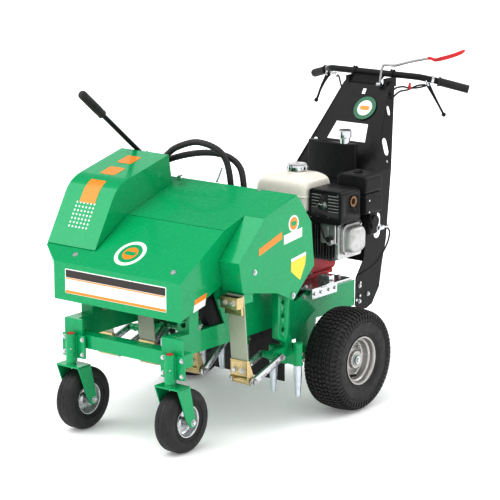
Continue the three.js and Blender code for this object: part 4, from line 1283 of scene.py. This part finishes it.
def upright():
    holes = []
    for k in (-1, 1):
        for x, y, z, run, wide in ((129, 605, 1013, 19, 11), (167, 537, 884, 34, 17)):
            near, far = sorted((k * (x - 30), k * (x + 30)))
            line = arc(y, z + run - wide, wide, 0, 180, 10) + arc(y, z - run + wide, wide, 180, 360, 10)
            holes.append(Build().prism("x", line, near, far))
    refined("handle_upright", BLACK, 1.2, 2, cutters=holes)
    b = Build()
    for y, z in ((342, 384), (340, 333), (317, 320)):
        for k in (-1, 1):
            b.disc((k * 188.4, y, z), (k, 0, 0), 6.4, 4, 6, 0.8)
    b.hexbolt((-136, 490, 889), (0, -0.83, 0.56), 6, 4, 1.6)
    for k in (-1, 1):
        b.hexbolt((k * 176, 527, 828), (k, 0, 0.3), 5, 3.5, 1.5)
    b.piece("upright_bolts", ZINC)
    lean = math.atan2(UPRIGHT_TOP[0] - UPRIGHT_KNEE[0], UPRIGHT_TOP[1] - UPRIGHT_KNEE[1])
    m = Matrix.Translation(BADGE) @ Matrix.Rotation(-lean, 4, "X")
    Build().prism("y", circle(0, 0, 50, 64), -1.6, 0, 0.5, 1, m).piece("badge_ring", GREEN_PRINT)
    face = Build().prism("y", circle(0, 0, 33, 64), -2.2, -1.5, 0.3, 1, m)
    face.piece("badge_face", WHITE, slot="black_paint")
    bar = Build().prism("y", rounded(-22, 22, -9, 9, 8), -2.7, -2.1, 0.2, 1, m)
    bar.piece("badge_bar", ORANGE, slot="black_paint")


def handlebar():
    half = smooth_path(BAR_PATH, 4)
    path = [(-p[0], p[1], p[2]) for p in reversed(half)] + [tuple(p) for p in half[1:]]
    Build().sweep(path, BAR_R, 20).piece("bar_tube", BLACK, "handlebar")
    for side, s in SIDES:
        start, end = Vector((s * 268, 741, 1125)), Vector((s * 372, 800.3, 1096))
        way = end - start
        b = Build()
        profile = [(12.8, 0), (18.6, 0.2), (19.6, 2), (19.6, 5), (16.2, 8)]
        steps = 17
        d = (way.length - 20) / steps
        for k in range(steps):
            z = 10 + (way.length - 20) * k / steps
            profile += [(16.2, z), (16.2, z + d * 0.55), (15.2, z + d * 0.65), (15.2, z + d * 0.92)]
        profile += [(16.2, way.length - 8), (16.2, way.length - 3), (14.4, way.length - 0.5),
                    (0, way.length - 0.2)]
        b.lathe("z", (0, 0, 0), profile, 36)
        b.bm.transform(aim(tuple(start), tuple(way.normalized())))
        b.piece(f"grip_rubber_{side}", RUBBER)
    b = Build()
    for k in (-1, 1):
        for x in (-6, 6):
            b.disc((k * CLAMP_X + x, BAR[0], BAR[1] + 13), (0, 0, 1), 5, 6, 6, 0.8)
        band = arc(*BAR, 15.4, -10, 190, 18) + arc(*BAR, 12.9, 190, -10, 18)
        b.prism("x", band, k * CLAMP_X - 7.2, k * CLAMP_X + 7.2, 0.6)
    b.prism("x", [(641, 1104), (637, 1108), (682, 1136), (687, 1131)], -100, 52, 1)
    b.piece("bar_clamps", BLACK)


def brake_lever(side, s):
    def at(k, d):
        """a point k along the lever's pivot from its middle and d down the blade"""
        return Vector((s * (242 + 0.523 * k + 0.5 * d), 713 - 0.829 * k + 0.11 * d,
                       1110 + 0.196 * k - 0.86 * d))

    b = Build()
    path = smooth_path([at(-2, -6), at(0, 4), at(2, 20), at(4, 46), at(4, 80), at(2, 104), at(2, 122)], 4)
    radii = [6.2 - 3.4 * min(1, k / (len(path) * 0.62)) for k in range(len(path))]
    b.sweep(path, radii, 16, True, 1.75)
    b.ball(tuple(at(2, 128)), 8.6, 20)
    b.piece(f"brake_blade_{side}", BLACK, f"brake_lever_{side}")
    b = Build()
    b.sweep([at(-8.5, -25), at(-9.5, -12), at(-10, 2)], [7.5, 6.6, 5], 14, True, 0.7)
    b.sweep([at(9, -22), at(8.6, -10), at(8.6, 2)], [5, 4.6, 4.2], 14, True, 0.7)
    b.sweep([at(-12, -1), at(10, -1)], 4.6, 16)
    bar = Vector((s * 250, 727, 1131))
    way = Vector((s * 22, 21, -7)).normalized()
    b.sweep([bar - way * 5, bar + way * 5], 14.8, 28)
    b.sweep([at(-6, -8), at(-22, -12), at(-34, -16)], [5, 4.4, 3.6], 14)
    b.piece(f"brake_perch_{side}", CHROME)


def engagement_lever():
    b = Build()
    rod_path = [(70, 630, 1108), (70, 634, 1135), (72, 640, 1168), (80, 642, 1183), (100, 642, 1186),
                (135, 642, 1187), (200, 642, 1206), (290, 642, 1228)]
    b.sweep(smooth_path(rod_path, 5), 4.9, 16)
    b.rod("x", 625, 1108, 8.8, 60.2, 79.8, 28, 1)
    b.piece("engagement_rod", STEEL, "engagement_lever", slot="zinc_plate")
    b = Build()
    paddle = [(285, 1222), (286, 1231), (291, 1234), (300, 1232), (310, 1229.5), (322, 1230), (342, 1237),
              (375, 1247), (405, 1257), (430, 1267), (444, 1273), (448.6, 1274), (449.4, 1270), (446, 1263.5),
              (434, 1254.5), (412, 1244.5), (386, 1235), (356, 1225.5), (334, 1219.5), (320, 1217),
              (313, 1217.5), (308, 1221), (300, 1222.5)]
    b.prism("y", fillet(paddle, 2.5, 3), 637, 647, 3.2, 3)
    b.piece("engagement_grip", RED_GRIP, body="engagement_lever")


def depth_lever():
    pivot = Vector(DEPTH_PIVOT)
    along = Vector(DEPTH_WAY).normalized()
    b = Build()
    b.sweep([pivot + along * d for d in (2, 60, 150, 292)], 8.8, 20, True)
    b.rod("x", pivot.y, pivot.z, 13.8, -401, -389, 36, 1)
    b.piece("depth_rod", BLACK, "depth_lever")
    b = Build()
    path = [pivot + along * d for d in (285, 288, 292, 300, 312, 330, 360, 396, 416, 426, 431, 434)]
    b.sweep(path, [12, 16.2, 16.8, 15.6, 16.4, 16.7, 16.4, 16.6, 16.8, 15.8, 13, 8], 32, True)
    for k in range(9):
        ring = pivot + along * (322 + 9 * k)
        b.sweep([ring - along * 1.2, ring + along * 1.2], 16.95, 32, False)
    b.piece("depth_grip", RUBBER, body="depth_lever")
    b = Build()
    for k in (-1, 1):
        b.disc((-397.9 + k * 17.4, pivot.y, pivot.z), (k, 0, 0), 8.6, 6, 6, 0.9)
    b.rod("x", pivot.y, pivot.z, 5.6, -415, -381, 20)
    b.piece("depth_pivot_bolt", ZINC)


def oil_tank():
    refined("oil_tank", BLACK, 4.0, 3)
    b = Build()
    profile = [(0, 905), (20, 905), (20, 925.6), (25.2, 926.6), (26, 929), (26, 952), (24.6, 956),
               (20, 957.8), (0, 957.8)]
    b.lathe("z", (*OIL_CAP, 0), profile, 56)
    for x, y in circle(*OIL_CAP, 24.6, 16):
        b.rod("z", x, y, 1.4, 929, 952, 8, 0)
    b.piece("oil_cap_body", CHROME, "oil_cap")


def hoses():
    upper = [(-262, -362, 866), (-254, -318, 896), (-243, -284, 928), (-205, -276, 956), (-130, -260, 980),
             (-62, -238, 964), (-28, -216, 924), (-14, -205, 850), (-12, -200, 760), (-12, -200, 650.3)]
    lower = [(-322, -362, 846), (-300, -305, 872), (-262, -262, 900), (-190, -236, 924), (-110, -212, 936),
             (-42, -184, 925), (6, -172, 888), (24, -172, 820), (26, -170, 740), (26, -170, 650.3)]
    for name, path in (("upper", upper), ("lower", lower)):
        curve = smooth_path(path, 10)
        b = Build()
        radii = [11.9 if k % 2 else 11.2 for k in range(len(curve))]
        b.sweep(curve, radii, 18)
        b.piece(f"hose_skin_{name}", HOSE, f"hose_{name}")
        b = Build()
        for near, far in ((0, 1), (-1, -2)):
            a, c = Vector(path[near]), Vector(path[far])
            way = (c - a).normalized()
            b.sweep([a + way * 1, a + way * 24], 12.4, 24)
            b.prism("z", circle(0, 0, 12.2, 6), 26, 36, 0.8, 1, aim(tuple(a), tuple(way)))
        b.piece(f"hose_ferrules_{name}", ZINC)
    b = Build()
    b.sweep(smooth_path([(-32, -230, 890), (-44, -231, 862), (-56, -232, 836)], 4), 3.2, 10)
    b.rod("y", -174, 847, 11, -306, -290, 24, 1.4)
    b.piece("line_fittings", CHROME, slot="zinc_plate")


def cables():
    b = Build()
    runs = (
        [(214, 738, 1103), (190, 716, 1096), (166, 690, 1096), (150, 668, 1102), (128, 648, 1094),
         (118, 640, 1070)],
        [(214, 736, 1108), (188, 716, 1104), (160, 692, 1088), (140, 664, 1082), (122, 640, 1058)],
        [(-214, 738, 1103), (-196, 716, 1112), (-170, 690, 1112), (-146, 664, 1100), (-126, 644, 1086),
         (-118, 640, 1066)],
        [(84, 648, 1118), (66, 652, 1096), (52, 640, 1062), (46, 612, 1010)],
    )
    for run in runs:
        b.sweep(smooth_path(run, 6), 3.4, 10)
    b.piece("control_cables", RUBBER)
    b = Build()
    b.prism("z", circle(0, 0, 6.4, 6), 0, 13, 0.8, 1, aim((168, 690, 1092), (0.12, 0, 1)))
    b.prism("z", circle(0, 0, 4.6, 20), 12, 24, 0.8, 1, aim((168, 690, 1092), (0.12, 0, 1)))
    b.piece("cable_adjuster", RED_GRIP)


def markings():
    """the printed areas of the drive cover, kept to plain shapes"""
    def printed_on(b, outline, thick):
        return b.prism("x", outline, DRIVE_SIDE, DRIVE_SIDE + thick, 0.2)

    b = printed_on(Build(), [(-276, 560), (-276, 593), (-187, 606), (-192, 574), (-222, 520)], 0.6)
    b.piece("side_panel_print", YELLOW)
    b = printed_on(Build(), [(-276, 594), (-276, 606), (-188, 619), (-187, 607)], 0.6)
    printed_on(b, [(-319, 666), (-319, 700), (-211, 713), (-211, 679)], 0.5)
    b.piece("side_bands_white", WHITE, slot="green_paint")
    b = printed_on(Build(), [(-463, 676), (-463, 650), (-330, 690), (-330, 716)], 0.5)
    b.piece("side_band_orange", ORANGE, slot="green_paint")


# ---------------------------------------------------------------- the scene
camera()
studio()
for side, s in SIDES:
    rear_tyre(side, s)
    rear_rim(side, s)
    caster(side, s)
chassis()
covers()
labels()
housing_marks()
mechanism()
engine()
fuel_tank()
muffler()
air_cleaner()
starter()
pump()
slide_base()
upright()
handlebar()
for side, s in SIDES:
    brake_lever(side, s)
engagement_lever()
depth_lever()
oil_tank()
hoses()
cables()
markings()
